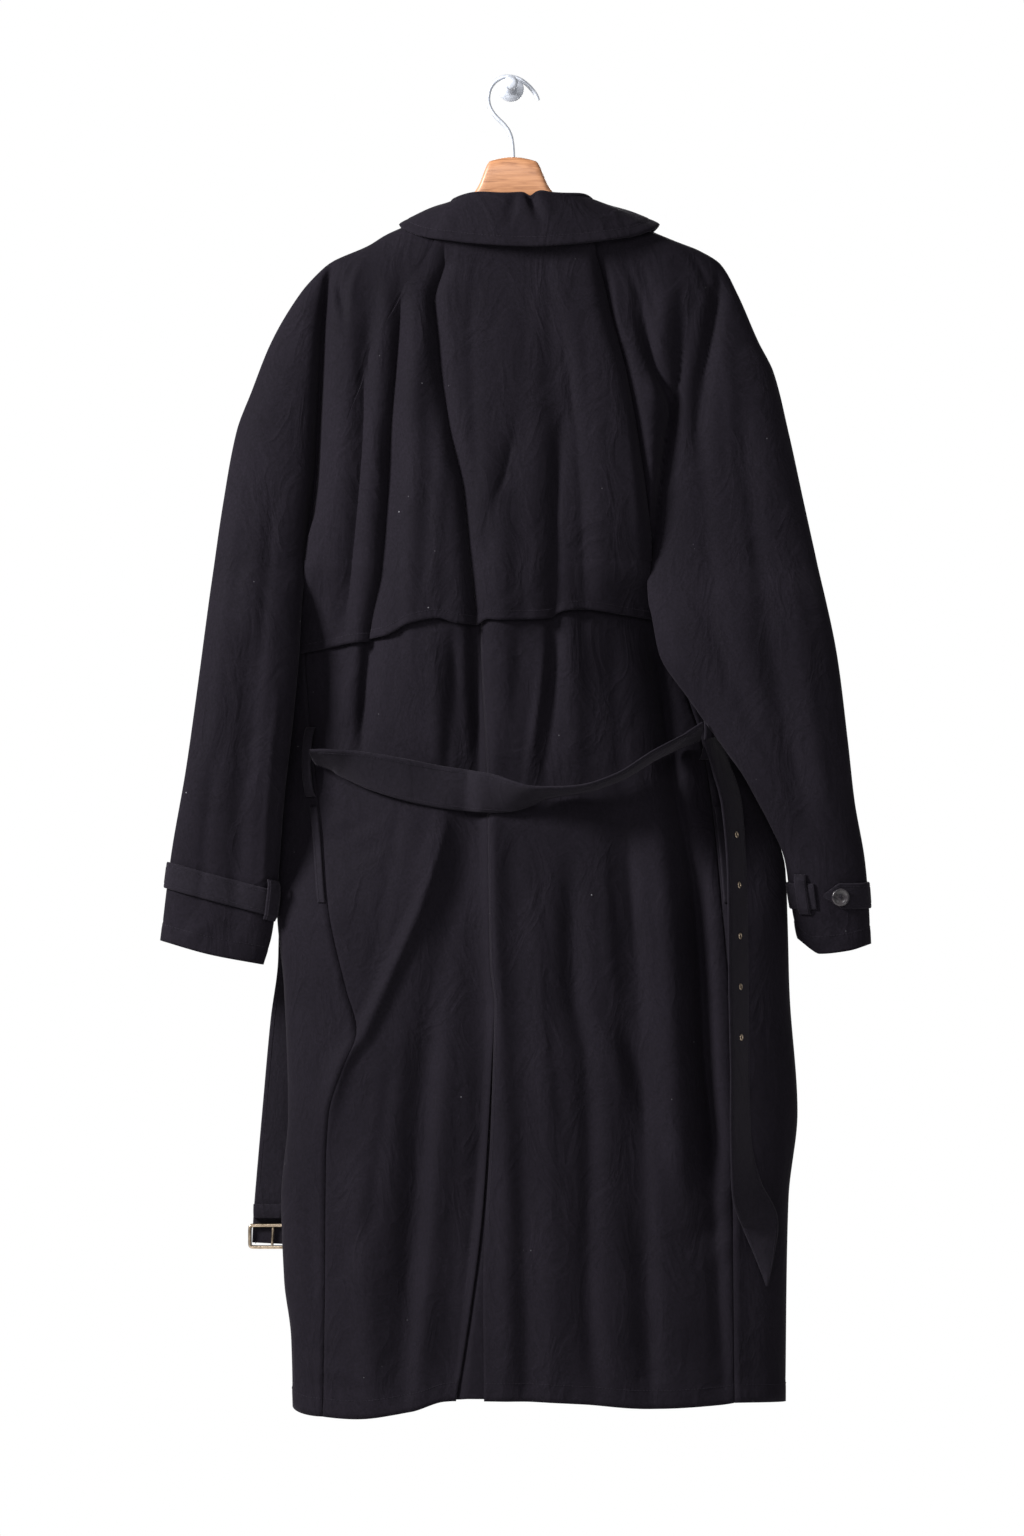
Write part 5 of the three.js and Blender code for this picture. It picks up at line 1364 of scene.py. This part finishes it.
def stitch_tree():
    tree = bpy.data.node_groups.new("Stitches", "GeometryNodeTree")
    tree.interface.new_socket("Geometry", in_out="INPUT", socket_type="NodeSocketGeometry")
    for label in ("Pitch", "Length", "Thickness"):
        tree.interface.new_socket(label, in_out="INPUT", socket_type="NodeSocketFloat")
    tree.interface.new_socket("Thread", in_out="INPUT", socket_type="NodeSocketMaterial")
    tree.interface.new_socket("Geometry", in_out="OUTPUT", socket_type="NodeSocketGeometry")
    entry = tree.nodes.new("NodeGroupInput")
    leave = tree.nodes.new("NodeGroupOutput")
    curve = tree.nodes.new("GeometryNodeMeshToCurve")
    spots = tree.nodes.new("GeometryNodeCurveToPoints")
    spots.mode = "LENGTH"
    thread = tree.nodes.new("GeometryNodeMeshCylinder")
    thread.inputs["Vertices"].default_value = 5
    uneven = tree.nodes.new("FunctionNodeRandomValue")
    uneven.data_type = "FLOAT_VECTOR"
    uneven.inputs["Min"].default_value = (0.85, 0.85, 0.8)
    uneven.inputs["Max"].default_value = (1.1, 1.1, 1.1)
    uneven.inputs["Seed"].default_value = 7
    sewn = tree.nodes.new("GeometryNodeInstanceOnPoints")
    real = tree.nodes.new("GeometryNodeRealizeInstances")
    coloured = tree.nodes.new("GeometryNodeSetMaterial")
    link = tree.links.new
    link(entry.outputs["Geometry"], curve.inputs["Mesh"])
    link(curve.outputs["Curve"], spots.inputs["Curve"])
    link(entry.outputs["Pitch"], spots.inputs["Length"])
    link(entry.outputs["Length"], thread.inputs["Depth"])
    link(entry.outputs["Thickness"], thread.inputs["Radius"])
    link(spots.outputs["Points"], sewn.inputs["Points"])
    link(spots.outputs["Rotation"], sewn.inputs["Rotation"])
    link(thread.outputs["Mesh"], sewn.inputs["Instance"])
    link(uneven.outputs["Value"], sewn.inputs["Scale"])
    link(sewn.outputs["Instances"], real.inputs["Geometry"])
    link(real.outputs["Geometry"], coloured.inputs["Geometry"])
    link(entry.outputs["Thread"], coloured.inputs["Material"])
    link(coloured.outputs["Geometry"], leave.inputs["Geometry"])
    return tree


def stitches(lines, pitch, length, radius):
    vertices, edges = [], []
    for line in lines:
        start = len(vertices)
        vertices.extend(tuple(map(float, p)) for p in line)
        edges.extend((start + k, start + k + 1) for k in range(len(line) - 1))
    guide_mesh = bpy.data.meshes.new("stitch_guide")
    guide_mesh.from_pydata(vertices, edges, [])
    guide = bpy.data.objects.new("stitch_guide", guide_mesh)
    bpy.context.scene.collection.objects.link(guide)
    tree = stitch_tree()
    modifier = guide.modifiers.new("Stitches", "NODES")
    modifier.node_group = tree
    values = {"Pitch": pitch, "Length": length, "Thickness": radius, "Thread": THREAD_MATERIAL}
    for item in tree.interface.items_tree:
        if item.in_out == "INPUT" and item.name in values:
            modifier[item.identifier] = values[item.name]
    bpy.context.view_layer.update()
    mesh = bpy.data.meshes.new_from_object(guide.evaluated_get(bpy.context.evaluated_depsgraph_get()))
    guide.modifiers.remove(modifier)
    bpy.data.objects.remove(guide)
    mesh.name = "stitches"
    sewn = bpy.data.objects.new("stitches", mesh)
    bpy.context.scene.collection.objects.link(sewn)
    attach(sewn, "root")


STITCH_PITCH = 3.0
STITCH_LENGTH = 2.1
STITCH_RADIUS = 0.32


def sew():
    across = np.linspace(0.01, 0.99, 240)
    share = (1 - np.cos(np.pi * across)) / 2
    low = np.full_like(across, FLAP_LOW)
    flap_low = flap_hem(mix(flap_left(low), flap_right(low), share))
    lines = list(STITCHED)
    lines.append(line_on("storm_flap_cloth", across, 1 - FLAP_DEPTH / (flap_low - FLAP_TOP)))
    for side in ("left", "right"):
        hem_share = 1 - HEM_DEPTH / BODY_FALL * (1 - BODY_SHARE)
        lines.append(line_on(f"back_{side}_cloth", across, hem_share))
        lines.append(line_on(f"front_{side}_cloth", across, hem_share))
        cuff_share = 1 - CUFF_DEPTH / SLEEVE_FALL * (1 - SLEEVE_SHARE)
        lines.append(line_on(f"sleeve_{side}_back_cloth", across, cuff_share))
        lines.append(line_on(f"sleeve_{side}_front_cloth", across, cuff_share))
        for edge in (STRAP_STITCH, 1 - STRAP_STITCH):
            lines.append(line_on(f"cuff_strap_{side}_cloth", across, edge))
        welt_share = 0.25 if side == "left" else 0.75
        lines.append(line_on(f"pocket_welt_{side}_cloth", welt_share, np.linspace(0.02, 0.98, 60)))
        for edge in (0.15, 0.85):
            lines.append(line_on(f"cuff_loop_{side}_cloth", edge, np.linspace(0.05, 0.95, 24)))
    lines.append(line_on("collar_cloth", np.linspace(0.01, 0.99, 400), 0.93))
    seam_run = np.linspace(0.43, 0.985, 300)[:240]
    lines.append(line_on("back_right_cloth", 0.012, seam_run))
    stitches(lines, STITCH_PITCH * MM, STITCH_LENGTH * MM, STITCH_RADIUS * MM)


back_panel("left")
back_panel("right")
storm_flap()
front_panel("left")
front_panel("right")
vent_underlap()
for side in ("left", "right"):
    sleeve_panel(side, True)
    sleeve_panel(side, False)
    cuff_strap(side)
    pocket_welt(side)
strap_loop("left", 0.86, 0.07)
strap_loop("right", 0.74, 0.06)
collar()
ribbon("belt_back_cloth", BELT_BACK, "belt_back", count=200)
ribbon("belt_tip_end_cloth", BELT_TIP, "belt_tip_end", count=260, curl=1.0)
ribbon("belt_buckle_end_cloth", BELT_BUCKLE, "belt_buckle_end", hung=True, curl=0.8)
side_loop("belt_loop_left", 311, 727, 797)
side_loop("belt_loop_right", 704, 703, 760)
keeper()
buckle()
eyelets()
for name in list(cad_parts):
    if "button" in name:
        button(name)
hanger_wood()
hanger_hook()
wall_hook()
sew()

# Floor, light and camera, in metres
def floor():
    material, _, shader = new_material("floor")
    shader.inputs["Base Color"].default_value = (0.78, 0.78, 0.77, 1)
    shader.inputs["Roughness"].default_value = 0.9
    half, near, far, level = 1.6, -2.2, 0.9, -1.9
    corners = [(-half, near, level), (half, near, level), (half, far, level), (-half, far, level)]
    mesh_object("floor", corners, [(0, 1, 2, 3)], material, smooth_faces=False)


floor()


# The white wall shows at full strength, and less of its light falls on the coat
WHITE_SHOWN = 1.0
WHITE_CAST = 0.5


def white_world():
    world = bpy.data.worlds.new("studio")
    bpy.context.scene.world = world
    world.use_nodes = True
    tree = world.node_tree
    backdrop = tree.nodes["Background"]
    backdrop.inputs["Color"].default_value = (1.0, 1.0, 1.0, 1)
    seen = tree.nodes.new("ShaderNodeLightPath")
    strength = tree.nodes.new("ShaderNodeMapRange")
    strength.inputs["To Min"].default_value = WHITE_CAST
    strength.inputs["To Max"].default_value = WHITE_SHOWN
    tree.links.new(seen.outputs["Is Camera Ray"], strength.inputs["Value"])
    tree.links.new(strength.outputs["Result"], backdrop.inputs["Strength"])


# The coat's middle, at which the lamps are aimed
COAT_MIDDLE = (0, -0.06, -0.7)


def area_light(name, place_at, aim, energy, size):
    lamp = bpy.data.lights.new(name, "AREA")
    lamp.energy = energy
    lamp.size = size
    obj = bpy.data.objects.new(name, lamp)
    obj.location = place_at
    obj.rotation_euler = (Vector(aim) - Vector(place_at)).to_track_quat("-Z", "Y").to_euler()
    bpy.context.scene.collection.objects.link(obj)


white_world()
area_light("key", (-2.4, -1.4, 0.7), COAT_MIDDLE, 330, 0.7)
area_light("fill", (2.4, -2.4, 0.4), (0, -0.06, -0.8), 14, 1.6)
area_light("front", (-0.4, -4.0, 1.0), COAT_MIDDLE, 60, 1.2)
area_light("wall_side", (0.6, 3.2, 0.4), COAT_MIDDLE, 90, 1.6)

# What the picture's height spans at the coat, and how far off the camera stands
IMAGE_HEIGHT = 1.536
DISTANCE = 7.5
SENSOR = 36
PICTURE_MIDDLE = (512, 768)
COAT_FACE_Y = -100


def camera():
    lens = bpy.data.cameras.new("camera")
    lens.sensor_fit = "VERTICAL"
    lens.sensor_height = SENSOR
    lens.lens = SENSOR * DISTANCE / IMAGE_HEIGHT
    made = bpy.data.objects.new("camera", lens)
    made.location = Vector(place(*PICTURE_MIDDLE, COAT_FACE_Y)) - Vector((0, DISTANCE, 0))
    made.rotation_euler = (math.pi / 2, 0, 0)
    bpy.context.scene.collection.objects.link(made)
    bpy.context.scene.camera = made
    bpy.context.scene.view_settings.view_transform = "Standard"


camera()
